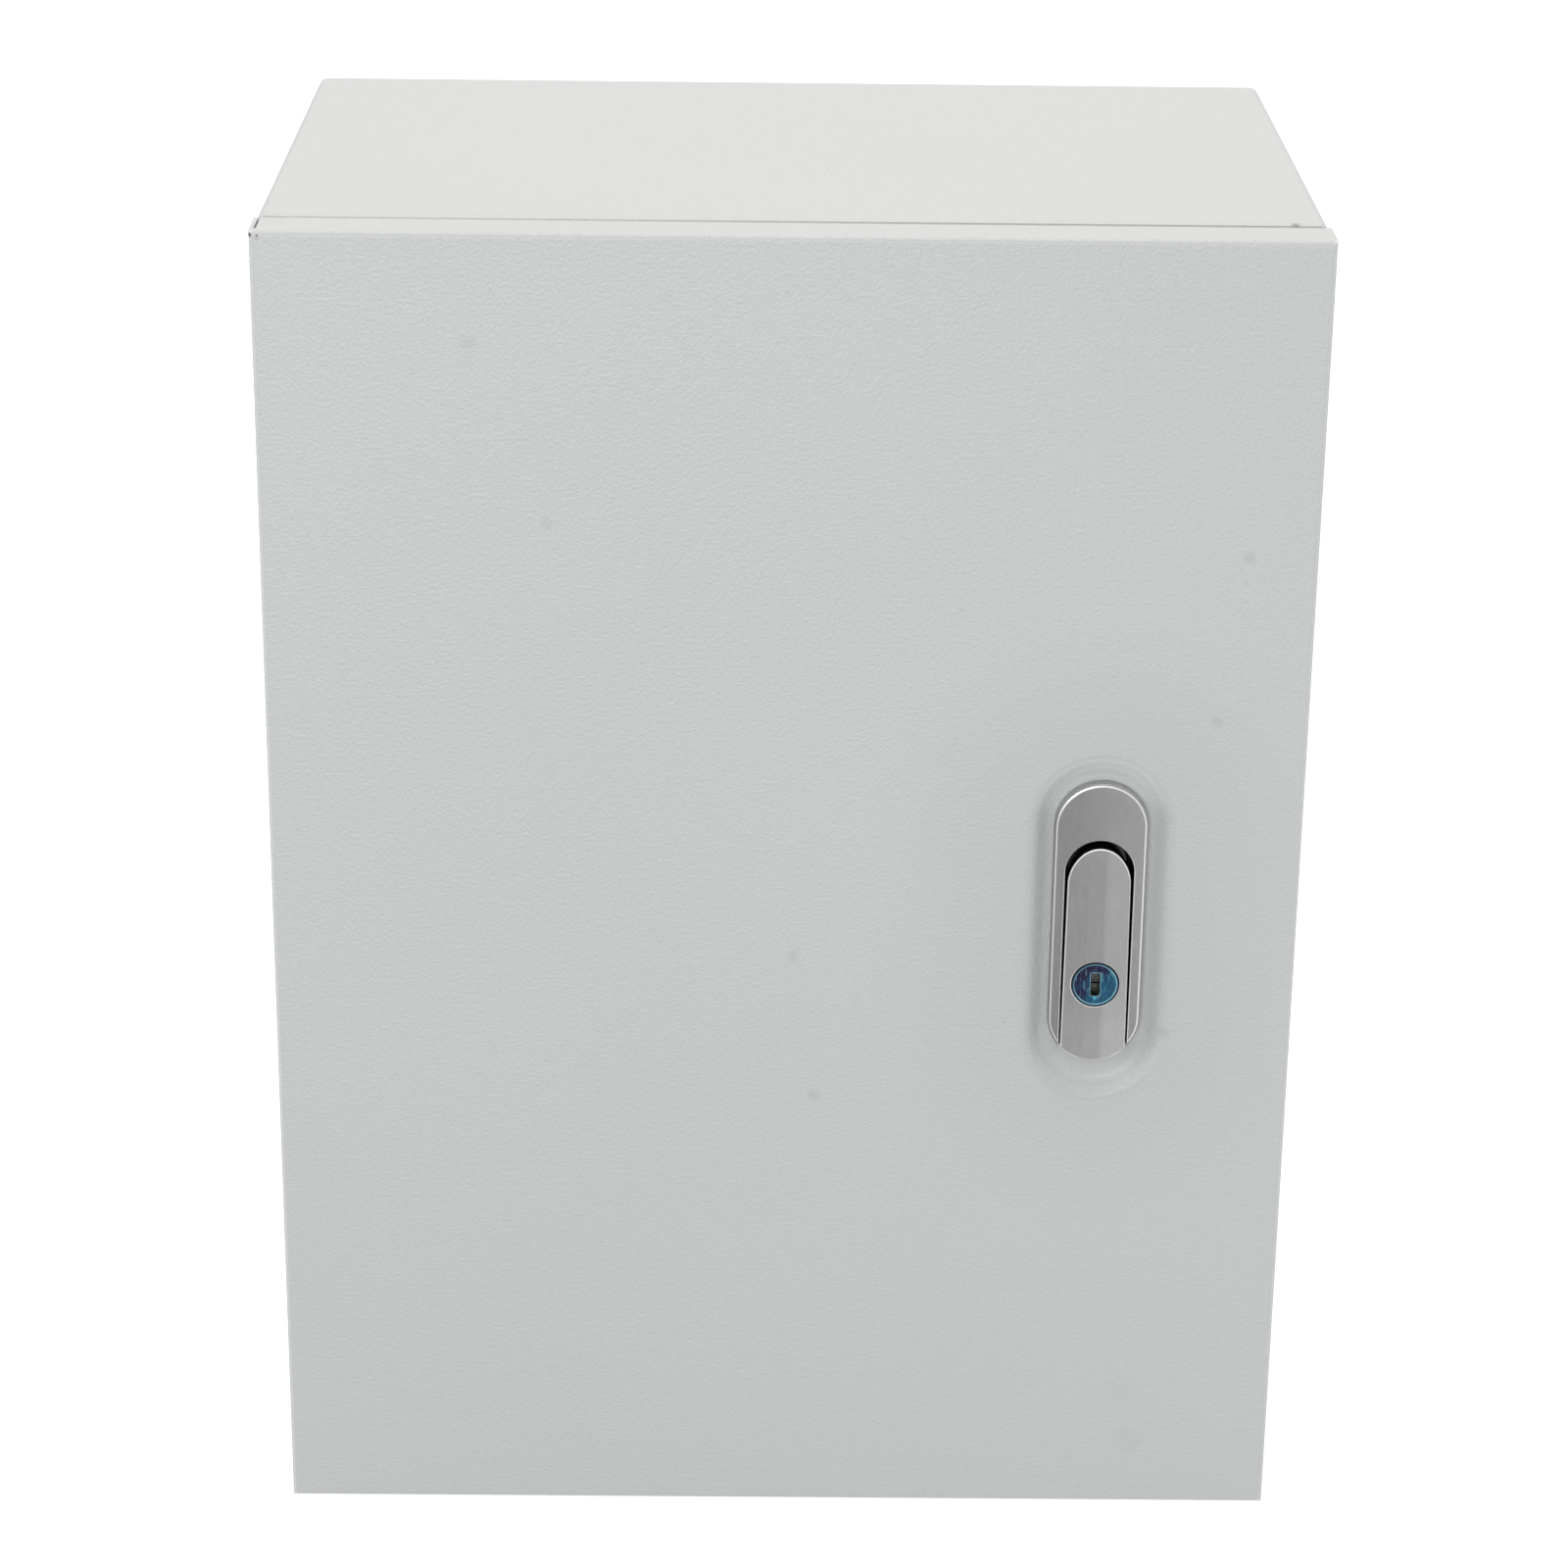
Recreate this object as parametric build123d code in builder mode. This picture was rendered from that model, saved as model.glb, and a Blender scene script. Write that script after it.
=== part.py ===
from build123d import *
import math
import os

# Steel wall enclosure with a hinged door and a lift-up lock handle, in millimetres.
# +Z is up and the door looks along -Y. The origin lies on the back face, in the middle
# of the four wall holes. Distances named *_at, *_front, *_back or *_floor are measured
# from the wall towards the door.

# Cabinet
width = 300.0
height = 400.0
depth = 200.0
sheet = 1.2
body_corner_r = 3.0
soft_clear = 0.3
run_clear = 0.05

# Front rim: the walls turn inwards to a step and forwards again to a lip
rim_step = 16.0
rim_bend_r = 2.5

# Back panel, a shallow pan welded into the wrap
back_flange = 12.0
pan_corner = 4.0
pan_bend_r = 2.0
wall_hole_inset = 20.0
wall_hole_r = 4.5

# Mounting plate on four welded studs
plate_margin_x = 26.0
plate_margin_z = 28.0
plate_t = 2.0
plate_corner = 8.0
plate_standoff = 14.0
plate_stud_inset = 12.0
stud_r = 4.0
stud_shoulder_af = 13.0
plate_nut_af = 13.0
plate_nut_h = 6.5
stud_tip = 3.0

# Gland plate over the cable opening in the bottom wall
gland_at = 95.0
gland_open_w = 160.0
gland_open_d = 70.0
gland_rim = 18.0
gland_corner_r = 5.0
gland_stud_inset = 6.0
gland_gasket_w = 8.0
gland_gasket_t = 2.0
gland_plate_t = 1.5
gland_stud_r = 2.5
gland_stud_tip = 2.5
gland_nut_af = 8.0
gland_nut_h = 4.0

# Earth studs
earth_stud_r = 3.0
earth_nut_af = 10.0
earth_nut_h = 5.0
earth_lead_t = 3.0
earth_stud_tip = 3.0
body_earth_at = 60.0
body_earth_up = 35.0
door_earth_in = 50.0
door_earth_up = 40.0

# Door
door_return = 15.5
door_gap = 2.5
door_bend_r = 1.5
seam_gap = 0.6
seam_length = 12.5
gasket_w = 8.0
gasket_t = 5.5
gasket_corner_r = 5.0

# Hinges
hinge_end = 65.0
hinge_inset = 5.5
hinge_setback = 9.0
hinge_pin_r = 2.0
knuckle_r = 3.6
body_knuckle = 16.0
door_knuckle = 8.0
knuckle_gap = 0.3
hinge_leaf_t = 2.0
body_leaf_w = 8.2
body_leaf_edge = 2.8
hinge_pin_over = 1.5
notch_margin = 2.2
notch_front = 3.0
hole_clear = 0.2

# Stamped dish in the door round the lock
lock_side = 58.5
dish_w = 39.4
dish_top = 46.7
dish_bottom = -60.5
dish_depth = 3.2
dish_wall = 4.2
dish_soft_r = 4.5
dish_skin = 0.3

# Lock escutcheon with its tray
bezel_w = 27.2
bezel_top = 39.1
bezel_bottom = -48.6
bezel_proud = 0.6
bezel_bevel = 0.6
recess_bevel = 0.3
lock_gasket_t = 0.5
lock_gasket_edge = 0.5
tray_inset = 2.4
tray_clear = 0.2
tray_reach = 14.5
tray_floor_t = 1.5
recess_w = 20.2
recess_arch_z = 11.3
recess_web = 0.7
pocket_bottom = -36.0

# Turret, handle and its cross pin
spindle_z = 10.5
pin_setback = 4.0
handle_pin_r = 1.5
turret_r = 8.5
turret_t = 3.0
tongue_w = 8.0
tongue_r = 2.6
handle_top_w = 18.4
handle_low_w = 19.2
handle_arch_z = 7.6
handle_arch_side_r = 13.0
handle_arch_turn = 45.0
handle_ridge = 0.5
handle_flat_w = 6.2
handle_bevel = 0.35
handle_skin = 1.6
handle_wall = 1.4
handle_rim = 3.0
ear_gap = 0.3
ear_t = 3.3
ear_r = 3.0
block_top = -13.0
block_bottom = -34.5
block_w = 18.0
block_reach = 10.1
tip_clear = 0.3

# Lock cylinder in the handle
barrel_z = -24.0
barrel_r = 7.1
barrel_wall = 0.65
barrel_fit = 0.05
barrel_proud = 0.55
plug_tail = 0.3
keyway_w = 2.8
keyway_h = 7.3
keyway_depth = 7.0
hook_t = 1.5
hook_w = 5.0
hook_reach = 8.0

# Spindle and cam behind the door
journal_r = 4.0
journal_in = 2.3
spindle_collar_r = 6.5
spindle_collar_t = 1.0
spindle_gap = 0.3
spindle_square = 8.0
square_fit = 0.1
cam_clear = 0.5
cam_t = 3.0
cam_hub_r = 9.0
cam_tip_w = 14.0
cam_overlap = 10.0
cam_tip_chamfer = 1.2
cam_washer_r = 8.0
cam_washer_t = 1.2
cam_bolt_r = 2.5
cam_bolt_af = 10.0
cam_bolt_h = 4.0
cam_bolt_grip = 8.0

# Bridges that clamp the lock to the door
bridge_z = (30.0, -41.5)
bridge_w = 10.0
bridge_t = 2.0
bridge_clear = 0.4
bridge_leg_t = 1.6
clamp_screw_r = 2.0
clamp_screw_head_r = 3.8
clamp_screw_head_t = 2.4
clamp_screw_in = 7.0

# Places that follow from the sizes above
door_back = depth - door_return
door_inner = depth - sheet
step_front = door_back - door_gap
step_back = step_front - sheet
open_w = width - 2 * rim_step
open_h = height - 2 * rim_step
gasket_face = door_inner - gasket_t
lip_front = gasket_face - soft_clear
wall_hole_x = width - 2 * wall_hole_inset
wall_hole_z = height - 2 * wall_hole_inset
plate_w = width - 2 * plate_margin_x
plate_h = height - 2 * plate_margin_z
plate_stud_x = plate_w - 2 * plate_stud_inset
plate_stud_z = plate_h - 2 * plate_stud_inset
plate_back = sheet + plate_standoff
plate_front = plate_back + plate_t
plate_stud_end = plate_front + plate_nut_h + stud_tip
floor_in = -height / 2 + sheet
gland_gasket_top = floor_in + gland_gasket_t
gland_plate_top = gland_gasket_top + gland_plate_t
gland_stud_top = gland_plate_top + gland_nut_h + gland_stud_tip
gland_w = gland_open_w + 2 * gland_rim
gland_d = gland_open_d + 2 * gland_rim
gland_stud_x = gland_w - 2 * gland_stud_inset
gland_stud_d = gland_d - 2 * gland_stud_inset
hinge_x = -width / 2 + hinge_inset
hinge_z = height / 2 - hinge_end
hinge_at = depth - hinge_setback
knuckle_half = body_knuckle / 2
door_hinge_half = knuckle_half + knuckle_gap + door_knuckle
notch_half = door_hinge_half + notch_margin
body_leaf_x = -width / 2 + body_leaf_edge
lock_x = width / 2 - lock_side
dish_z = (dish_top + dish_bottom) / 2
dish_h = dish_top - dish_bottom
dish_floor = depth - dish_depth
dish_back = dish_floor - sheet
bezel_z = (bezel_top + bezel_bottom) / 2
bezel_h = bezel_top - bezel_bottom
bezel_back = dish_floor + lock_gasket_t
bezel_front = depth + bezel_proud
tray_back = depth - tray_reach
tray_floor = tray_back + tray_floor_t
cutout_inset = tray_inset - tray_clear
recess_floor = bezel_back + recess_web
pin_at = depth - pin_setback
turret_front = tray_floor + turret_t
handle_front = bezel_front
handle_inner = handle_front - handle_skin
handle_back = handle_front - block_reach
barrel_front = handle_front + barrel_proud
plug_r = barrel_r - barrel_wall
plug_back = handle_back - plug_tail
cam_front = step_back - cam_clear
cam_back = cam_front - cam_t
cam_reach = width / 2 - rim_step + cam_overlap - lock_x
spindle_end = cam_back + spindle_gap
collar_front = tray_back - spindle_gap
washer_back = cam_back - cam_washer_t


def facing(at):
    """Plane that looks out of the door, at a distance from the wall. Its x is X, its y is Z."""
    return Plane.XZ.offset(at)


def edges_at(part, at, half_w, half_h, x=0.0, z=0.0):
    """Edges in the plane at a distance from the wall, with their middles inside a window."""
    flat = part.edges().filter_by_position(Axis.Y, -at - 0.01, -at + 0.01)
    return [
        e
        for e in flat
        if abs(e.center().X - x) < half_w and abs(e.center().Z - z) < half_h
    ]


def lock_slot(inset=0.0, mode=Mode.ADD):
    """Outline of the lock escutcheon, made smaller all round."""
    with Locations((lock_x, bezel_z)):
        SlotOverall(bezel_h - 2 * inset, bezel_w - 2 * inset, rotation=90, mode=mode)


def save(builder, name):
    """Name a finished piece and write it out."""
    builder.part.label = name
    export_step(builder.part, f"parts/{name}.step")


os.makedirs("parts", exist_ok=True)

# Wrap of top, sides and bottom, with the stepped rim and lip round the door opening
with BuildPart() as body_shell:
    with BuildSketch(facing(0)):
        RectangleRounded(width, height, body_corner_r)
    extrude(amount=step_front)
    fillet(body_shell.faces().sort_by(Axis.Y)[0].edges(), rim_bend_r)
    with BuildSketch(facing(0)):
        RectangleRounded(width - 2 * sheet, height - 2 * sheet, body_corner_r - sheet)
    extrude(amount=step_back, mode=Mode.SUBTRACT)
    chamfer(edges_at(body_shell, step_back, width, height), (rim_bend_r - sheet) / 2)
    with BuildSketch(facing(step_back)):
        Rectangle(open_w + 2 * sheet, open_h + 2 * sheet)
    extrude(amount=lip_front - step_back)
    with BuildSketch(facing(step_back)):
        Rectangle(open_w, open_h)
    extrude(amount=lip_front - step_back, mode=Mode.SUBTRACT)
    fillet(
        edges_at(body_shell, step_front, open_w / 2 + 2 * sheet, open_h / 2 + 2 * sheet),
        rim_bend_r - sheet,
    )
    fillet(edges_at(body_shell, step_back, open_w / 2 + sheet, open_h / 2 + sheet), rim_bend_r)
    # Cable opening in the bottom
    with BuildSketch(Plane.XY.offset(-height / 2)):
        with Locations((0, -gland_at)):
            RectangleRounded(gland_open_w, gland_open_d, gland_corner_r)
    extrude(amount=sheet, mode=Mode.SUBTRACT)
save(body_shell, "body_shell")

# Back panel with its flanges turned forwards, flush with the wrap's back edge
with BuildPart() as back_panel:
    with BuildSketch(facing(0)) as pan_outline:
        Rectangle(width - 2 * sheet, height - 2 * sheet)
        chamfer(pan_outline.vertices(), pan_corner)
    extrude(amount=back_flange)
    fillet(back_panel.faces().sort_by(Axis.Y)[-1].edges(), pan_bend_r)
    with BuildSketch(facing(sheet)) as pan_inside:
        Rectangle(width - 4 * sheet, height - 4 * sheet)
        chamfer(pan_inside.vertices(), pan_corner - sheet / 2)
    extrude(amount=back_flange - sheet, mode=Mode.SUBTRACT)
    fillet(edges_at(back_panel, sheet, width, height), pan_bend_r - sheet)
    with BuildSketch(facing(0)):
        with GridLocations(wall_hole_x, wall_hole_z, 2, 2):
            Circle(wall_hole_r)
    extrude(amount=sheet, mode=Mode.SUBTRACT)
save(back_panel, "back_panel")

# Four studs with a hexagonal shoulder, on which the mounting plate stands
with BuildPart() as plate_studs:
    with BuildSketch(facing(sheet)):
        with GridLocations(plate_stud_x, plate_stud_z, 2, 2):
            RegularPolygon(stud_shoulder_af / 2, 6, major_radius=False)
    extrude(amount=plate_standoff)
    with BuildSketch(facing(plate_back)):
        with GridLocations(plate_stud_x, plate_stud_z, 2, 2):
            Circle(stud_r)
    extrude(amount=plate_stud_end - plate_back)
save(plate_studs, "plate_studs")

with BuildPart() as mounting_plate:
    with BuildSketch(facing(plate_back)) as plate_outline:
        Rectangle(plate_w, plate_h)
        chamfer(plate_outline.vertices(), plate_corner)
        with GridLocations(plate_stud_x, plate_stud_z, 2, 2):
            Circle(stud_r + 2 * hole_clear, mode=Mode.SUBTRACT)
    extrude(amount=plate_t)
save(mounting_plate, "mounting_plate")

with BuildPart() as plate_nuts:
    with BuildSketch(facing(plate_front)):
        with GridLocations(plate_stud_x, plate_stud_z, 2, 2):
            RegularPolygon(plate_nut_af / 2, 6, major_radius=False)
            Circle(stud_r + run_clear, mode=Mode.SUBTRACT)
    extrude(amount=plate_nut_h)
save(plate_nuts, "plate_nuts")

# Gland plate on its gasket, over the opening, held by studs and nuts
with BuildPart() as gland_gasket:
    with BuildSketch(Plane.XY.offset(floor_in)):
        with Locations((0, -gland_at)):
            Rectangle(gland_open_w + 2 * gland_gasket_w, gland_open_d + 2 * gland_gasket_w)
            RectangleRounded(gland_open_w, gland_open_d, gland_corner_r, mode=Mode.SUBTRACT)
    extrude(amount=gland_gasket_t)
save(gland_gasket, "gland_gasket")

with BuildPart() as gland_plate:
    with BuildSketch(Plane.XY.offset(gland_gasket_top)):
        with Locations((0, -gland_at)):
            RectangleRounded(gland_w, gland_d, gland_corner_r)
            with GridLocations(gland_stud_x, gland_stud_d, 2, 2):
                Circle(gland_stud_r + hole_clear, mode=Mode.SUBTRACT)
    extrude(amount=gland_plate_t)
save(gland_plate, "gland_plate")

with BuildPart() as gland_studs:
    with BuildSketch(Plane.XY.offset(floor_in)):
        with Locations((0, -gland_at)):
            with GridLocations(gland_stud_x, gland_stud_d, 2, 2):
                Circle(gland_stud_r)
    extrude(amount=gland_stud_top - floor_in)
save(gland_studs, "gland_studs")

with BuildPart() as gland_nuts:
    with BuildSketch(Plane.XY.offset(gland_plate_top)):
        with Locations((0, -gland_at)):
            with GridLocations(gland_stud_x, gland_stud_d, 2, 2):
                RegularPolygon(gland_nut_af / 2, 6, major_radius=False)
                Circle(gland_stud_r + run_clear, mode=Mode.SUBTRACT)
    extrude(amount=gland_nut_h)
save(gland_nuts, "gland_nuts")

# Earth studs: one on the left wall, one on the inside of the door
earth_base = {
    "body": Plane.YZ.offset(-width / 2 + sheet),
    "door": Plane.ZX.offset(-door_inner),
}
earth_place = {
    "body": (-body_earth_at, -height / 2 + body_earth_up),
    "door": (-height / 2 + door_earth_up, -width / 2 + door_earth_in),
}
for side, base in earth_base.items():
    with BuildPart() as earth_stud:
        with BuildSketch(base):
            with Locations(earth_place[side]):
                Circle(earth_stud_r)
        extrude(amount=earth_lead_t + earth_nut_h + earth_stud_tip)
    save(earth_stud, f"{side}_earth_stud")
    with BuildPart() as earth_nuts:
        with BuildSketch(base):
            with Locations(earth_place[side]):
                RegularPolygon(earth_nut_af / 2, 6, major_radius=False)
                Circle(earth_stud_r + run_clear, mode=Mode.SUBTRACT)
        extrude(amount=earth_nut_h)
    save(earth_nuts, f"{side}_earth_nuts")

# Hinges: a bracket welded on the rim, its knuckle between the two knuckles of the door's part
for level_name, z in (("upper", hinge_z), ("lower", -hinge_z)):
    with BuildPart() as hinge_bracket:
        with BuildSketch(Plane.XY.offset(z - knuckle_half)):
            with Locations((hinge_x, -hinge_at)):
                Circle(knuckle_r)
            with Locations((body_leaf_x, -step_front)):
                Rectangle(
                    hinge_x + knuckle_r - body_leaf_x,
                    hinge_at - step_front,
                    align=(Align.MIN, Align.MAX),
                )
        extrude(amount=body_knuckle)
        with BuildSketch(facing(step_front)):
            with Locations((body_leaf_x, z)):
                Rectangle(body_leaf_w, 2 * door_hinge_half, align=(Align.MIN, Align.CENTER))
        extrude(amount=hinge_leaf_t)
        with BuildSketch(Plane.XY.offset(z - knuckle_half)):
            with Locations((hinge_x, -hinge_at)):
                Circle(hinge_pin_r + run_clear)
        extrude(amount=body_knuckle, mode=Mode.SUBTRACT)
    save(hinge_bracket, f"hinge_bracket_{level_name}")

    with BuildPart() as door_hinge:
        with BuildSketch(Plane.XY.offset(z - door_hinge_half)):
            with Locations((hinge_x, -hinge_at)):
                Circle(knuckle_r)
                Rectangle(
                    2 * knuckle_r, door_inner - hinge_at, align=(Align.CENTER, Align.MAX)
                )
        extrude(amount=2 * door_hinge_half)
        with BuildSketch(Plane.XY.offset(z - knuckle_half - knuckle_gap)):
            with Locations((hinge_x, -door_inner + hinge_leaf_t)):
                Rectangle(4 * knuckle_r, 4 * knuckle_r, align=(Align.CENTER, Align.MIN))
        extrude(amount=2 * (knuckle_half + knuckle_gap), mode=Mode.SUBTRACT)
        with BuildSketch(Plane.XY.offset(z - door_hinge_half)):
            with Locations((hinge_x, -hinge_at)):
                Circle(hinge_pin_r + run_clear)
        extrude(amount=2 * door_hinge_half, mode=Mode.SUBTRACT)
    save(door_hinge, f"door_hinge_{level_name}")

    with BuildPart() as hinge_pin:
        with BuildSketch(Plane.XY.offset(z - door_hinge_half - hinge_pin_over)):
            with Locations((hinge_x, -hinge_at)):
                Circle(hinge_pin_r)
        extrude(amount=2 * (door_hinge_half + hinge_pin_over))
    save(hinge_pin, f"hinge_pin_{level_name}")

# Door: a folded pan with the stamped dish and cut-out of the lock and the hinge notches
with BuildPart() as door_panel:
    with BuildSketch(facing(door_back)):
        Rectangle(width, height)
    extrude(amount=door_return)
    fillet(door_panel.faces().sort_by(Axis.Y)[0].edges(), door_bend_r)
    with BuildSketch(facing(door_back)):
        Rectangle(width - 2 * sheet, height - 2 * sheet)
    extrude(amount=door_return - sheet, mode=Mode.SUBTRACT)
    fillet(edges_at(door_panel, door_inner, width, height), door_bend_r - sheet)
    # The dish bulges inwards behind and is hollow in front
    with BuildSketch(facing(door_inner)):
        with Locations((lock_x, dish_z)):
            SlotOverall(dish_h + 2 * dish_skin, dish_w + 2 * dish_skin, rotation=90)
    with BuildSketch(facing(dish_back)):
        with Locations((lock_x, dish_z)):
            SlotOverall(
                dish_h - 2 * dish_wall + 2 * dish_skin,
                dish_w - 2 * dish_wall + 2 * dish_skin,
                rotation=90,
            )
    loft()
    with BuildSketch(facing(depth)):
        with Locations((lock_x, dish_z)):
            SlotOverall(dish_h, dish_w, rotation=90)
    with BuildSketch(facing(dish_floor)):
        with Locations((lock_x, dish_z)):
            SlotOverall(dish_h - 2 * dish_wall, dish_w - 2 * dish_wall, rotation=90)
    loft(mode=Mode.SUBTRACT)
    fillet(edges_at(door_panel, depth, dish_w, dish_h * 0.6, lock_x, dish_z), dish_soft_r)
    fillet(edges_at(door_panel, dish_floor, dish_w, dish_h * 0.6, lock_x, dish_z), dish_soft_r)
    with BuildSketch(facing(dish_back)):
        lock_slot(cutout_inset)
    extrude(amount=sheet, mode=Mode.SUBTRACT)
    # Open corner seams beside the left return
    with BuildSketch(facing(door_back)):
        with Locations((-width / 2 + sheet, height / 2), (-width / 2 + sheet, -height / 2)):
            Rectangle(seam_gap, 2 * sheet, align=(Align.MIN, Align.CENTER))
    extrude(amount=seam_length, mode=Mode.SUBTRACT)
    # Notches in the left return, through which the hinges reach back
    with BuildSketch(facing(door_back)):
        with Locations((-width / 2, hinge_z), (-width / 2, -hinge_z)):
            Rectangle(2 * sheet, 2 * notch_half)
    extrude(amount=door_return - notch_front, mode=Mode.SUBTRACT)
save(door_panel, "door_panel")

# Foamed gasket, which the lip of the rim meets in the middle
with BuildPart() as door_gasket:
    with BuildSketch(facing(gasket_face)):
        gasket_out_w = open_w + sheet + gasket_w
        gasket_out_h = open_h + sheet + gasket_w
        RectangleRounded(gasket_out_w, gasket_out_h, gasket_corner_r + gasket_w / 2)
        RectangleRounded(
            gasket_out_w - 2 * gasket_w,
            gasket_out_h - 2 * gasket_w,
            gasket_corner_r,
            mode=Mode.SUBTRACT,
        )
    extrude(amount=gasket_t)
save(door_gasket, "door_gasket")

with BuildPart() as lock_gasket:
    with BuildSketch(facing(dish_floor)):
        lock_slot(lock_gasket_edge)
        lock_slot(cutout_inset, mode=Mode.SUBTRACT)
    extrude(amount=lock_gasket_t)
save(lock_gasket, "lock_gasket")

# Lock escutcheon: rails beside the handle, open at the bottom, and the tray behind
with BuildPart() as lock_bezel:
    with BuildSketch(facing(bezel_back)):
        lock_slot()
    extrude(amount=bezel_front - bezel_back)
    chamfer(lock_bezel.faces().sort_by(Axis.Y)[0].edges(), bezel_bevel)
    with BuildSketch(facing(tray_back)):
        lock_slot(tray_inset)
    extrude(amount=bezel_back - tray_back)
    with BuildSketch(facing(recess_floor)):
        with Locations((lock_x, recess_arch_z)):
            Circle(recess_w / 2)
            Rectangle(
                recess_w,
                recess_arch_z - bezel_bottom + sheet,
                align=(Align.CENTER, Align.MAX),
            )
    extrude(amount=bezel_front - recess_floor, mode=Mode.SUBTRACT)
    chamfer(edges_at(lock_bezel, bezel_front, recess_w / 2 + run_clear, bezel_h, lock_x), recess_bevel)
    with BuildSketch(facing(tray_floor)):
        with Locations((lock_x, recess_arch_z)):
            Circle(recess_w / 2)
        with Locations((lock_x, (recess_arch_z + pocket_bottom) / 2)):
            Rectangle(recess_w, recess_arch_z - pocket_bottom)
    extrude(amount=recess_floor - tray_floor, mode=Mode.SUBTRACT)
    with BuildSketch(facing(tray_back)):
        with Locations((lock_x, spindle_z)):
            Circle(journal_r + run_clear)
    extrude(amount=tray_floor_t, mode=Mode.SUBTRACT)
    with BuildSketch(facing(tray_back)):
        with Locations(*[(lock_x, z) for z in bridge_z]):
            Circle(clamp_screw_r + run_clear)
    extrude(amount=clamp_screw_in + 1, mode=Mode.SUBTRACT)
save(lock_bezel, "lock_bezel")

# Turret in the tray: a disc with a tongue that carries the handle's cross pin
with BuildPart() as turret:
    with BuildSketch(facing(tray_floor)):
        with Locations((lock_x, spindle_z)):
            Circle(turret_r)
    extrude(amount=turret_t)
    with BuildSketch(Plane.YZ.offset(lock_x - tongue_w / 2)):
        with Locations((-pin_at, spindle_z)):
            Circle(tongue_r)
            Rectangle(
                pin_at - turret_front, 2 * tongue_r, align=(Align.MIN, Align.CENTER)
            )
    extrude(amount=tongue_w)
    with BuildSketch(Plane.YZ.offset(lock_x - tongue_w / 2)):
        with Locations((-pin_at, spindle_z)):
            Circle(handle_pin_r + run_clear)
    extrude(amount=tongue_w, mode=Mode.SUBTRACT)
    with BuildSketch(facing(tray_floor)):
        with Locations((lock_x, spindle_z)):
            Circle(journal_r + run_clear)
    extrude(amount=journal_in + run_clear, mode=Mode.SUBTRACT)
save(turret, "turret")

# Handle: a hollow casting, ridged in front, with two ears and the cylinder's block
handle_arc_z = bezel_bottom + bezel_w / 2
handle_side_z = handle_arc_z - math.sqrt((bezel_w / 2) ** 2 - (handle_low_w / 2) ** 2)
handle_top_half = handle_top_w / 2
handle_low_half = handle_low_w / 2
slope_end = handle_low_w - handle_flat_w / 2
# Centres and top radius of the three-centred arch
arch_offset = handle_arch_side_r - handle_top_half
arch_rise = arch_offset * math.tan(math.radians(handle_arch_turn))
arch_top_r = handle_arch_side_r - arch_offset / math.cos(math.radians(handle_arch_turn))
# Front outline: a tall arch at the top, on the escutcheon's own arc at the bottom
with BuildSketch() as handle_outline:
    with BuildLine():
        Line((lock_x - handle_top_half, handle_arch_z), (lock_x - handle_low_half, handle_side_z))
        ThreePointArc(
            (lock_x - handle_low_half, handle_side_z),
            (lock_x, bezel_bottom),
            (lock_x + handle_low_half, handle_side_z),
        )
        Line((lock_x + handle_low_half, handle_side_z), (lock_x + handle_top_half, handle_arch_z))
        CenterArc((lock_x - arch_offset, handle_arch_z), handle_arch_side_r, 0, handle_arch_turn)
        CenterArc(
            (lock_x, handle_arch_z + arch_rise), arch_top_r, handle_arch_turn, 180 - 2 * handle_arch_turn
        )
        CenterArc(
            (lock_x + arch_offset, handle_arch_z),
            handle_arch_side_r,
            180 - handle_arch_turn,
            handle_arch_turn,
        )
    make_face()

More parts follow.
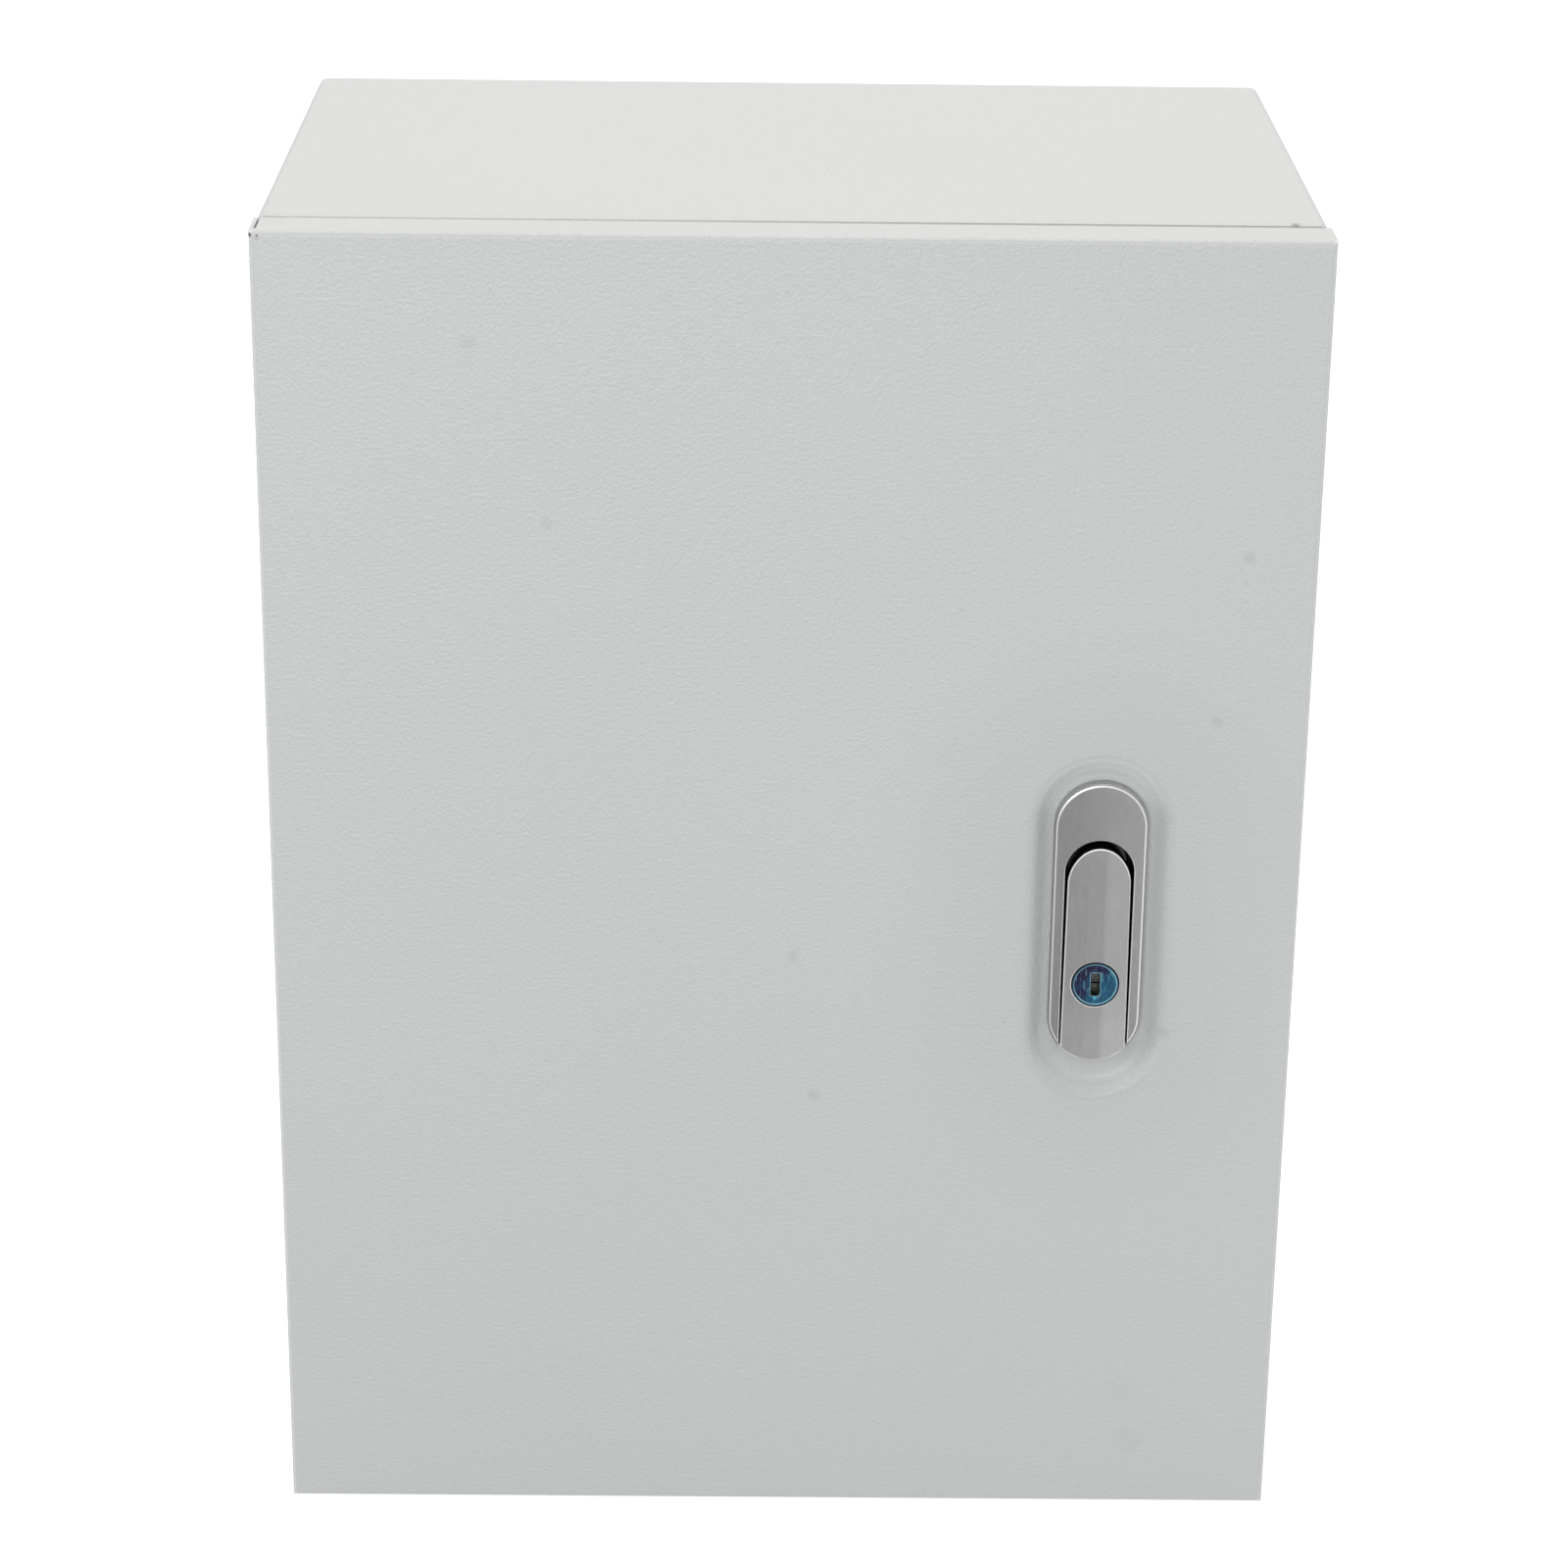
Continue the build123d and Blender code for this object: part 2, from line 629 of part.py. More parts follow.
with BuildPart() as handle:
    with BuildSketch(facing(handle_back)):
        add(handle_outline.sketch)
    extrude(amount=handle_front + handle_ridge - handle_back)
    # The front has a flat middle with a slope on each side
    with BuildSketch(Plane.XY.offset(bezel_bottom - sheet)):
        with BuildLine():
            Polyline(
                (lock_x - slope_end, -handle_back),
                (lock_x - slope_end, -handle_front + handle_ridge),
                (lock_x - handle_flat_w / 2, -handle_front - handle_ridge),
                (lock_x + handle_flat_w / 2, -handle_front - handle_ridge),
                (lock_x + slope_end, -handle_front + handle_ridge),
                (lock_x + slope_end, -handle_back),
                close=True,
            )
        make_face()
    extrude(amount=bezel_h, mode=Mode.INTERSECT)
    front = handle.faces().sort_by(Axis.Y)[:3]
    ridges = front.edges().filter_by(Axis.Z)
    chamfer([e for e in front.edges() if e not in ridges], handle_bevel)
    # Behind the skin only the rim, the ears and the block stay
    with BuildSketch(facing(handle_back)):
        add(handle_outline.sketch)
        with Locations((lock_x, (block_top + block_bottom) / 2)):
            Rectangle(block_w, block_top - block_bottom, mode=Mode.SUBTRACT)
    extrude(amount=handle_inner - handle_rim - handle_back, mode=Mode.SUBTRACT)
    with BuildSketch(facing(handle_inner - handle_rim)):
        add(handle_outline.sketch)
        offset(amount=-handle_wall)
        with Locations((lock_x, (block_top + block_bottom) / 2)):
            Rectangle(handle_low_w, block_top - block_bottom, mode=Mode.SUBTRACT)
        with Locations((lock_x, block_bottom)):
            Rectangle(handle_low_w, -bezel_bottom, align=(Align.CENTER, Align.MAX), mode=Mode.SUBTRACT)
    extrude(amount=handle_rim, mode=Mode.SUBTRACT)
    # Thin finger tip over the end of the escutcheon
    with BuildSketch(facing(handle_back)):
        with Locations((lock_x, block_bottom)):
            Rectangle(2 * handle_low_w, -bezel_bottom, align=(Align.CENTER, Align.MAX))
    extrude(amount=recess_floor + tip_clear - handle_back, mode=Mode.SUBTRACT)
    with BuildSketch(Plane.YZ.offset(lock_x)):
        with Locations((-pin_at, spindle_z)):
            Circle(ear_r)
            Rectangle(handle_inner - pin_at, 2 * ear_r, align=(Align.MAX, Align.CENTER))
    extrude(amount=tongue_w / 2 + ear_gap + ear_t, both=True)
    with BuildSketch(Plane.YZ.offset(lock_x)):
        with Locations((-pin_at, spindle_z)):
            Circle(ear_r + ear_gap)
            Rectangle(handle_inner - pin_at, 2 * (ear_r + ear_gap), align=(Align.MAX, Align.CENTER))
    extrude(amount=tongue_w / 2 + ear_gap, both=True, mode=Mode.SUBTRACT)
    with BuildSketch(Plane.YZ.offset(lock_x)):
        with Locations((-pin_at, spindle_z)):
            Circle(handle_pin_r + run_clear)
    extrude(amount=recess_w / 2, both=True, mode=Mode.SUBTRACT)
    with BuildSketch(facing(handle_back)):
        with Locations((lock_x, barrel_z)):
            Circle(barrel_r + barrel_fit)
    extrude(amount=barrel_front - handle_back, mode=Mode.SUBTRACT)
save(handle, "handle")

with BuildPart() as handle_pin:
    pin_half = tongue_w / 2 + ear_gap + ear_t
    with BuildSketch(Plane.YZ.offset(lock_x)):
        with Locations((-pin_at, spindle_z)):
            Circle(handle_pin_r)
    extrude(amount=pin_half, both=True)
save(handle_pin, "handle_pin")

# Lock cylinder: a sleeve in the handle and the plug that the key turns
with BuildPart() as lock_barrel:
    with BuildSketch(facing(handle_back)):
        with Locations((lock_x, barrel_z)):
            Circle(barrel_r)
            Circle(plug_r + run_clear, mode=Mode.SUBTRACT)
    extrude(amount=barrel_front - handle_back)
save(lock_barrel, "lock_barrel")

with BuildPart() as lock_plug:
    with BuildSketch(facing(plug_back)):
        with Locations((lock_x, barrel_z)):
            Circle(plug_r)
    extrude(amount=barrel_front - plug_back)
    with BuildSketch(facing(barrel_front)):
        with Locations((lock_x, barrel_z)):
            SlotOverall(keyway_h, keyway_w, rotation=90)
    extrude(amount=-keyway_depth, mode=Mode.SUBTRACT)
save(lock_plug, "lock_plug")

with BuildPart() as plug_hook:
    with BuildSketch(facing(plug_back - hook_t)):
        with Locations((lock_x, barrel_z)):
            Circle(hook_w / 2)
            Rectangle(hook_w, hook_reach, align=(Align.CENTER, Align.MAX))
    extrude(amount=hook_t)
save(plug_hook, "plug_hook")

# Spindle: a journal in the tray and turret, a collar and the square for the cam
with BuildPart() as spindle:
    with BuildSketch(facing(collar_front)):
        with Locations((lock_x, spindle_z)):
            Circle(journal_r)
    extrude(amount=tray_floor + journal_in - run_clear - collar_front)
    with BuildSketch(facing(collar_front)):
        with Locations((lock_x, spindle_z)):
            Circle(spindle_collar_r)
    extrude(amount=-spindle_collar_t)
    with BuildSketch(facing(spindle_end)):
        with Locations((lock_x, spindle_z)):
            Rectangle(spindle_square, spindle_square)
    extrude(amount=collar_front - spindle_collar_t - spindle_end)
    with BuildSketch(facing(spindle_end)):
        with Locations((lock_x, spindle_z)):
            Circle(cam_bolt_r + run_clear)
    extrude(amount=cam_bolt_grip, mode=Mode.SUBTRACT)
save(spindle, "spindle")

# Cam: its tip reaches behind the step of the rim
with BuildPart() as latch_cam:
    with BuildSketch(facing(cam_back)):
        with Locations((lock_x, spindle_z)):
            Circle(cam_hub_r)
        with BuildLine():
            Polyline(
                (lock_x, spindle_z + cam_hub_r),
                (lock_x + cam_reach, spindle_z + cam_tip_w / 2),
                (lock_x + cam_reach, spindle_z - cam_tip_w / 2),
                (lock_x, spindle_z - cam_hub_r),
                close=True,
            )
        make_face()
        with Locations((lock_x, spindle_z)):
            Rectangle(
                spindle_square + 2 * square_fit,
                spindle_square + 2 * square_fit,
                mode=Mode.SUBTRACT,
            )
    extrude(amount=cam_t)
    tip = latch_cam.faces().sort_by(Axis.X)[-1]
    fillet(tip.edges().filter_by(Axis.Y), cam_t)
    chamfer(
        latch_cam.faces().sort_by(Axis.Y)[0].edges().sort_by(Axis.X)[-1], cam_tip_chamfer
    )
save(latch_cam, "latch_cam")

with BuildPart() as cam_washer:
    with BuildSketch(facing(washer_back)):
        with Locations((lock_x, spindle_z)):
            Circle(cam_washer_r)
            Circle(cam_bolt_r + hole_clear, mode=Mode.SUBTRACT)
    extrude(amount=cam_washer_t)
save(cam_washer, "cam_washer")

with BuildPart() as cam_bolt:
    with BuildSketch(facing(washer_back - cam_bolt_h)):
        with Locations((lock_x, spindle_z)):
            RegularPolygon(cam_bolt_af / 2, 6, major_radius=False)
    extrude(amount=cam_bolt_h)
    with BuildSketch(facing(washer_back)):
        with Locations((lock_x, spindle_z)):
            Circle(cam_bolt_r)
    extrude(amount=cam_washer_t + cam_bolt_grip - run_clear)
save(cam_bolt, "cam_bolt")

# Clamp bridges over the tray's ends, each with a screw into the tray
leg_in = bezel_w / 2 - tray_inset + bridge_clear
leg_out = leg_in + bridge_leg_t
for level_name, z in zip(("upper", "lower"), bridge_z):
    with BuildPart() as lock_bridge:
        with BuildSketch(Plane.XY.offset(z - bridge_w / 2)):
            with Locations((lock_x, -tray_back + bridge_t)):
                Rectangle(
                    2 * leg_out, dish_back - tray_back + bridge_t, align=(Align.CENTER, Align.MAX)
                )
            with Locations((lock_x, -tray_back)):
                Rectangle(
                    2 * leg_in,
                    dish_back - tray_back,
                    align=(Align.CENTER, Align.MAX),
                    mode=Mode.SUBTRACT,
                )
        extrude(amount=bridge_w)
        with BuildSketch(facing(tray_back - bridge_t)):
            with Locations((lock_x, z)):
                Circle(clamp_screw_r + hole_clear)
        extrude(amount=bridge_t, mode=Mode.SUBTRACT)
    save(lock_bridge, f"lock_bridge_{level_name}")

with BuildPart() as clamp_screws:
    with BuildSketch(facing(tray_back - bridge_t)):
        with Locations(*[(lock_x, z) for z in bridge_z]):
            Circle(clamp_screw_head_r)
    extrude(amount=-clamp_screw_head_t)
    with BuildSketch(facing(tray_back - bridge_t)):
        with Locations(*[(lock_x, z) for z in bridge_z]):
            Circle(clamp_screw_r)
    extrude(amount=bridge_t + clamp_screw_in)
save(clamp_screws, "clamp_screws")
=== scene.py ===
import math

import bmesh
import bpy
import mathutils
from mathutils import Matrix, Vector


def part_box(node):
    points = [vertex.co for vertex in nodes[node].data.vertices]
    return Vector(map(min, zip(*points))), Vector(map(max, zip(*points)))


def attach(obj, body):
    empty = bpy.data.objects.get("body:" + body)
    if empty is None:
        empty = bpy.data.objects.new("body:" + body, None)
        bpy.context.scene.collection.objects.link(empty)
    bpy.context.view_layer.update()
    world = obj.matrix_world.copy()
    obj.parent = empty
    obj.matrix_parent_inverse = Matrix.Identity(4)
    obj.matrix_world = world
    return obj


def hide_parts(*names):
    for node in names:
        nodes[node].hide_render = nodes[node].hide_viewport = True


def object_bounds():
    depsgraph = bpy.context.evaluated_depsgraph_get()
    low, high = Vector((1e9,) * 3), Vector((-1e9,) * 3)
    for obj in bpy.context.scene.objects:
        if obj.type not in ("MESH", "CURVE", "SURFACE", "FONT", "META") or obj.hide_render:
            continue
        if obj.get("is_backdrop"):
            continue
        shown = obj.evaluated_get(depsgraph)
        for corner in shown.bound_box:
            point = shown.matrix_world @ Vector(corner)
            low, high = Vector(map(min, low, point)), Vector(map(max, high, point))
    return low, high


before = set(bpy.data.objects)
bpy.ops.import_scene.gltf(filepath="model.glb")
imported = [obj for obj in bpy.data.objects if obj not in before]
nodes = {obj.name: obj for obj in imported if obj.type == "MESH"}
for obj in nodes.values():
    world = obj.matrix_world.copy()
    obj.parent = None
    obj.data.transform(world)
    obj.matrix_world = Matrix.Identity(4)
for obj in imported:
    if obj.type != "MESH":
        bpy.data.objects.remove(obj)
low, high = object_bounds()
scene = bpy.context.scene

# The photograph's camera: a long lens a little above the cabinet, looking down on it, so
# that the door fills the picture and the top wall shows as a narrow band.
camera_data = bpy.data.cameras.new("camera")
camera_data.lens = 95.825
camera_data.sensor_width = 36.0
camera = bpy.data.objects.new("camera", camera_data)
camera.location = (-0.01173, -1.32204, 0.48112)
camera.rotation_euler = (math.radians(68.4575), math.radians(-0.6641), math.radians(-0.2928))
scene.collection.objects.link(camera)
scene.camera = camera
scene.view_settings.view_transform = "Standard"

# The studio floor under the cabinet: white to the camera, and in the gloss of the metal a glowing
# painted reflection, brighter on the right than on the left. Other light comes from lamps and surround.
plain_white = (1, 1, 1, 1)
floor_grey = (0.35, 0.35, 0.35, 1)
floor_size = 24.0
floor_rough = 0.9
floor_glow = 0.85
gloss_from_x = -0.05
gloss_to_x = 0.28
gloss_left = 0.25


def maths(tree, operation, *values):
    """A math node fed by sockets or numbers; returns its result socket."""
    node = tree.nodes.new("ShaderNodeMath")
    node.operation = operation
    for i, value in enumerate(values):
        if isinstance(value, bpy.types.NodeSocket):
            tree.links.new(value, node.inputs[i])
        else:
            node.inputs[i].default_value = value
    return node.outputs[0]


def times(tree, first, second):
    """The product of two sockets or numbers; returns its result socket."""
    return maths(tree, "MULTIPLY", first, second)


def places(tree):
    """Object coordinates as X, Y and Z sockets."""
    source = tree.nodes.new("ShaderNodeTexCoord")
    split = tree.nodes.new("ShaderNodeSeparateXYZ")
    tree.links.new(source.outputs["Object"], split.inputs[0])
    return split.outputs["X"], split.outputs["Y"], split.outputs["Z"]


bpy.ops.object.select_all(action="DESELECT")
bpy.ops.mesh.primitive_grid_add(
    x_subdivisions=2, y_subdivisions=2, size=floor_size, location=(0, 0, low.z)
)
floor = bpy.context.object
floor.name = "studio_floor"
bpy.ops.object.transform_apply(location=True, rotation=True, scale=True)
floor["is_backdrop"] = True

floor_white = bpy.data.materials.new("floor_white")
floor_white.use_nodes = True
tree = floor_white.node_tree
paper = tree.nodes["Principled BSDF"]
paper.inputs["Base Color"].default_value = floor_grey
paper.inputs["Roughness"].default_value = floor_rough
side = tree.nodes.new("ShaderNodeMapRange")
side.inputs["From Min"].default_value = gloss_from_x
side.inputs["From Max"].default_value = gloss_to_x
side.inputs["To Min"].default_value = gloss_left
tree.links.new(places(tree)[0], side.inputs["Value"])
# The floor's glow to gloss rays, brighter on the right, is a painted reflection on the metal.
seen = tree.nodes.new("ShaderNodeLightPath")
gloss = times(tree, seen.outputs["Is Glossy Ray"], side.outputs["Result"])
either = maths(tree, "MAXIMUM", seen.outputs["Is Camera Ray"], gloss)
paper.inputs["Emission Color"].default_value = plain_white
tree.links.new(times(tree, either, floor_glow), paper.inputs["Emission Strength"])
floor.data.materials.append(floor_white)

# The surround: a soft tent round the cabinet that lights it most from overhead. Camera and
# gloss see it as plain white.
tent_level = 0.46
tent_overhead = 0.95

world = bpy.data.worlds.new("studio_surround")
scene.world = world
world.use_nodes = True
tree = world.node_tree
for node in list(tree.nodes):
    tree.nodes.remove(node)
tent = tree.nodes.new("ShaderNodeTexCoord")
axes = tree.nodes.new("ShaderNodeSeparateXYZ")
tree.links.new(tent.outputs["Generated"], axes.inputs[0])
overhead = tree.nodes.new("ShaderNodeMapRange")
overhead.inputs["To Min"].default_value = tent_level
overhead.inputs["To Max"].default_value = tent_overhead
tree.links.new(axes.outputs["Z"], overhead.inputs["Value"])
fill_light = tree.nodes.new("ShaderNodeBackground")
fill_light.inputs["Color"].default_value = plain_white
tree.links.new(overhead.outputs["Result"], fill_light.inputs["Strength"])
backdrop = tree.nodes.new("ShaderNodeBackground")
backdrop.inputs["Color"].default_value = plain_white
seen = tree.nodes.new("ShaderNodeLightPath")
either = maths(tree, "MAXIMUM", seen.outputs["Is Camera Ray"], seen.outputs["Is Glossy Ray"])
mix = tree.nodes.new("ShaderNodeMixShader")
tree.links.new(either, mix.inputs["Fac"])
tree.links.new(fill_light.outputs[0], mix.inputs[1])
tree.links.new(backdrop.outputs[0], mix.inputs[2])
output = tree.nodes.new("ShaderNodeOutputWorld")
tree.links.new(mix.outputs[0], output.inputs["Surface"])

# Two soft boxes: a warm one straight above the top wall, and a plain one in front, level
# with the door. Each has its place, size, power and colour.
soft_boxes = {
    "lamp_top": ((0.00, 0.00, 1.80), 1.4, 12.5, (1.0, 0.90, 0.875)),
    "lamp_front": ((-0.50, -2.70, 0.20), 1.2, 30.0, (1.0, 1.0, 1.0)),
}
lamp_aim = mathutils.Vector((0.0, -0.15, 0.0))
for name, (place, size, power, colour) in soft_boxes.items():
    light = bpy.data.lights.new(name, "AREA")
    light.shape = "SQUARE"
    light.size = size
    light.energy = power
    light.color = colour
    lamp = bpy.data.objects.new(name, light)
    lamp.location = place
    lamp.rotation_euler = (lamp_aim - lamp.location).to_track_quat("-Z", "Y").to_euler()
    scene.collection.objects.link(lamp)

# The cabinet: mild steel sheet, folded and welded, with a light grey polyester powder coat.
# The coat is baked on as one film, which leaves a fine orange peel and a soft sheen.
coat_grey = (0.590, 0.615, 0.606, 1)
coat_cloud = (0.03, 0.985)
coat_rough = (0.12, 0.36)
coat_mottle = 0.03
peel_scale = 1000.0
peel_detail = 2.5
peel_height = 0.00045
cloud_scale = 9.0
speck_scale = 420.0
speck_detail = 1.0
speck_from = 0.71
speck_full = 0.76
speck_depth = 0.05
blot_scale = 900.0
blot_ragged = 0.6
blot_edge = (0.7, 1.5)
marks_front = -0.17


def shader_group(name, inputs, outputs):
    """An empty shader group with named sockets; returns it with its input and output nodes."""
    group = bpy.data.node_groups.new(name, "ShaderNodeTree")
    for label, kind, value in inputs:
        socket = group.interface.new_socket(label, in_out="INPUT", socket_type=kind)
        socket.default_value = value
    for label, kind in outputs:
        group.interface.new_socket(label, in_out="OUTPUT", socket_type=kind)
    return group, group.nodes.new("NodeGroupInput"), group.nodes.new("NodeGroupOutput")


def put_out(group, end, **sockets):
    """Link sockets to the named outputs of a shader group."""
    for label, socket in sockets.items():
        group.links.new(socket, end.inputs[label])


def use_group(tree, group, **values):
    """Place a shader group in a tree, with its inputs set from sockets or values."""
    node = tree.nodes.new("ShaderNodeGroup")
    node.node_tree = group
    for label, value in values.items():
        if isinstance(value, bpy.types.NodeSocket):
            tree.links.new(value, node.inputs[label])
        else:
            node.inputs[label].default_value = value
    return node


def plus(tree, first, second):
    """The sum of two sockets or numbers; returns its result socket."""
    return maths(tree, "ADD", first, second)


def minus(tree, first, second):
    """The difference of two sockets or numbers; returns its result socket."""
    return maths(tree, "SUBTRACT", first, second)


def share(tree, value, amount, base):
    """A base with a share of a value added to it; returns its result socket."""
    return plus(tree, times(tree, value, amount), base)


def ramp(tree, value, start, end, first=0.0, last=1.0):
    """A smooth step of a value from one number to another; returns its result socket."""
    node = tree.nodes.new("ShaderNodeMapRange")
    node.interpolation_type = "SMOOTHSTEP"
    tree.links.new(value, node.inputs["Value"])
    node.inputs["From Min"].default_value = start
    node.inputs["From Max"].default_value = end
    node.inputs["To Min"].default_value = first
    node.inputs["To Max"].default_value = last
    return node.outputs["Result"]


def fade(tree, value, start, end):
    """A smooth step down from one to nought; returns its result socket."""
    return ramp(tree, value, start, end, 1.0, 0.0)


def band(tree, value, centre, half_width, soft):
    """A band round a value with soft sides; returns its mask socket."""
    away = maths(tree, "ABSOLUTE", minus(tree, value, centre))
    return fade(tree, away, half_width, half_width + soft)


def distance(tree, across, along):
    """The length of two offsets at right angles; returns its result socket."""
    squares = plus(tree, times(tree, across, across), times(tree, along, along))
    return maths(tree, "SQRT", squares)


def object_vector(tree):
    """Object coordinates as one vector socket."""
    return tree.nodes.new("ShaderNodeTexCoord").outputs["Object"]


def noise(tree, vector, scale, detail=2.0):
    """A noise texture over a vector, its scale a number or a socket; returns its value socket."""
    node = tree.nodes.new("ShaderNodeTexNoise")
    node.inputs["Detail"].default_value = detail
    tree.links.new(vector, node.inputs["Vector"])
    if isinstance(scale, bpy.types.NodeSocket):
        tree.links.new(scale, node.inputs["Scale"])
    else:
        node.inputs["Scale"].default_value = scale
    return node.outputs["Fac"]


def mix_colour(tree, factor, first, second):
    """A mix of two colours, each a socket or a value; returns its result socket."""
    node = tree.nodes.new("ShaderNodeMix")
    node.data_type = "RGBA"
    tree.links.new(factor, node.inputs[0])
    for socket, value in ((node.inputs[6], first), (node.inputs[7], second)):
        if isinstance(value, bpy.types.NodeSocket):
            tree.links.new(value, socket)
        else:
            socket.default_value = value
    return node.outputs[2]


def scale_colour(tree, colour, amount):
    """A colour made lighter or darker; returns its result socket."""
    node = tree.nodes.new("ShaderNodeVectorMath")
    node.operation = "SCALE"
    tree.links.new(colour, node.inputs[0])
    tree.links.new(amount, node.inputs["Scale"])
    return node.outputs[0]


powder_coat, coat_in, coat_out = shader_group(
    "powder_coat",
    [
        ("Colour", "NodeSocketColor", coat_grey),
        ("Peel", "NodeSocketFloat", peel_scale),
        ("Mottle", "NodeSocketFloat", coat_mottle),
    ],
    [("Colour", "NodeSocketColor"), ("Roughness", "NodeSocketFloat"), ("Height", "NodeSocketFloat")],
)
vector = object_vector(powder_coat)
peel = noise(powder_coat, vector, coat_in.outputs["Peel"], peel_detail)
cloud = noise(powder_coat, vector, cloud_scale)
specks = noise(powder_coat, vector, speck_scale, speck_detail)
specks = ramp(powder_coat, specks, speck_from, speck_full, 0.0, speck_depth)
mottle = times(powder_coat, minus(powder_coat, peel, 0.5), coat_in.outputs["Mottle"])
shade = plus(powder_coat, share(powder_coat, cloud, *coat_cloud), mottle)
shade = minus(powder_coat, shade, specks)
put_out(
    powder_coat,
    coat_out,
    Colour=scale_colour(powder_coat, coat_in.outputs["Colour"], shade),
    Roughness=share(powder_coat, peel, *coat_rough),
    Height=peel,
)

spot, spot_in, spot_out = shader_group(
    "spot",
    [
        ("Across", "NodeSocketFloat", 0.0),
        ("Along", "NodeSocketFloat", 0.0),
        ("Radius", "NodeSocketFloat", 0.002),
        ("Depth", "NodeSocketFloat", 0.2),
    ],
    [("Mask", "NodeSocketFloat")],
)
reach = distance(spot, spot_in.outputs["Across"], spot_in.outputs["Along"])
reach = maths(spot, "DIVIDE", reach, spot_in.outputs["Radius"])
ragged = times(spot, noise(spot, object_vector(spot), blot_scale), blot_ragged)
blot = fade(spot, plus(spot, reach, ragged), *blot_edge)
put_out(spot, spot_out, Mask=times(spot, blot, spot_in.outputs["Depth"]))


def plain_material(name, bump_height, bump_strength=0.5):
    """A node material; returns it with its tree, its shader and the height socket of its bump."""
    material = bpy.data.materials.new(name)
    material.use_nodes = True
    tree = material.node_tree
    shader = tree.nodes["Principled BSDF"]
    bump = tree.nodes.new("ShaderNodeBump")
    bump.inputs["Strength"].default_value = bump_strength
    bump.inputs["Distance"].default_value = bump_height
    tree.links.new(bump.outputs["Normal"], shader.inputs["Normal"])
    return material, tree, shader, bump.inputs["Height"]


def dress(tree, shader, height, colour, roughness, relief):
    """Link a colour and a roughness to a shader, and a relief to the height of its bump."""
    tree.links.new(colour, shader.inputs["Base Color"])
    tree.links.new(roughness, shader.inputs["Roughness"])
    tree.links.new(relief, height)


def give_finish(material, *names):
    """Give a material to CAD nodes."""
    for name in names:
        nodes[name].data.materials[0] = material


def coated_material(name, blots=(), mottle=coat_mottle, shade=None):
    """Powder coat with blots; each blot has its two axes, place, radius, depth and colour.

    The shade, if one is given, makes a tree's nodes for painted light and shade over the whole coat.
    """
    material, tree, shader, height = plain_material(name, peel_height)
    coat = use_group(tree, powder_coat, Mottle=mottle)
    x, y, z = places(tree)
    axis = {"x": x, "y": y, "z": z}
    colour = coat.outputs["Colour"]
    if shade is not None:
        colour = scale_colour(tree, colour, shade(tree, x, y, z))
    front = maths(tree, "LESS_THAN", y, marks_front)
    for axes, place, radius, depth, tint in blots:
        mark = use_group(
            tree,
            spot,
            Across=minus(tree, axis[axes[0]], place[0]),
            Along=minus(tree, axis[axes[1]], place[1]),
            Radius=radius,
            Depth=depth,
        )
        colour = mix_colour(tree, times(tree, mark.outputs["Mask"], front), colour, tint)
    dress(tree, shader, height, colour, coat.outputs["Roughness"], coat.outputs["Height"])
    return material


# Painted shade lies in the gap behind the door, on the walls' front bend, darker on the right, and
# a dark spot sits there near the right end of the top wall.
gap_spot_grey = (0.20, 0.19, 0.16, 1)
gap_dark_spot = ("xy", (0.1404, -0.1807), 0.0014, 0.7, gap_spot_grey)
body_mottle = 0.10
bend_front = -0.1820
bend_start = -0.1795
bend_shade = 0.05
bend_soft = 0.0005
line_half = 0.0002
line_soft = 0.0003
gap_shade_line = bend_front + 0.0007
gap_shade_from_x = -0.12
gap_shade_to_x = 0.06
gap_shade_left = 0.18
gap_shade_right = 0.50


def gap_shade(tree, x, y, z):
    """A painted shade line on the front bend of the walls, and a faint painted shade line where the bend
    starts.
    """
    amount = ramp(tree, x, gap_shade_from_x, gap_shade_to_x, gap_shade_left, gap_shade_right)
    # Painted shade in the gap behind the door's return, darker towards the right.
    dust_and_shade = times(tree, band(tree, y, gap_shade_line, line_half, line_soft), amount)
    # A faint painted shade line where the walls' bend starts.
    line = times(tree, band(tree, y, bend_start, line_half, bend_soft), bend_shade)
    return minus(tree, minus(tree, 1.0, dust_and_shade), line)


body_coat = coated_material("body_powder_coat", [gap_dark_spot], body_mottle, gap_shade)
give_finish(body_coat, "body_shell", "back_panel")

# The door: the same sheet and coat, folded back all round, with a dish stamped in for the
# lock. Handling has left faint grey marks on its face, and rust has started beside the
# open seam at its upper left corner.
mark_grey = (0.36, 0.40, 0.40, 1)
rust_brown = (0.17, 0.085, 0.04, 1)
seam_dark = (0.05, 0.045, 0.04, 1)
door_marks = [
    ("xz", (-0.0898, 0.1689), 0.0024, 0.20, mark_grey),
    ("xz", (-0.0686, 0.1164), 0.0022, 0.18, mark_grey),
    ("xz", (0.1303, 0.1082), 0.0020, 0.28, mark_grey),
    ("xz", (0.1235, 0.0585), 0.0020, 0.28, mark_grey),
    ("xz", (0.0023, -0.0162), 0.0022, 0.20, mark_grey),
    ("xz", (0.0093, -0.0614), 0.0022, 0.24, mark_grey),
    ("xz", (0.1125, -0.0400), 0.0020, 0.28, mark_grey),
    ("xz", (0.1044, -0.1609), 0.0060, 0.07, mark_grey),
    ("xz", (0.1081, -0.1780), 0.0050, 0.09, mark_grey),
    ("xz", (-0.1476, 0.1986), 0.0005, 0.8, rust_brown),
    ("xz", (-0.1476, 0.1975), 0.0005, 0.2, rust_brown),
    ("xz", (-0.1496, 0.1988), 0.0007, 0.95, seam_dark),
]


def middle_of(node):
    """The middle of a CAD node's box."""
    box_low, box_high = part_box(node)
    return (box_low + box_high) / 2


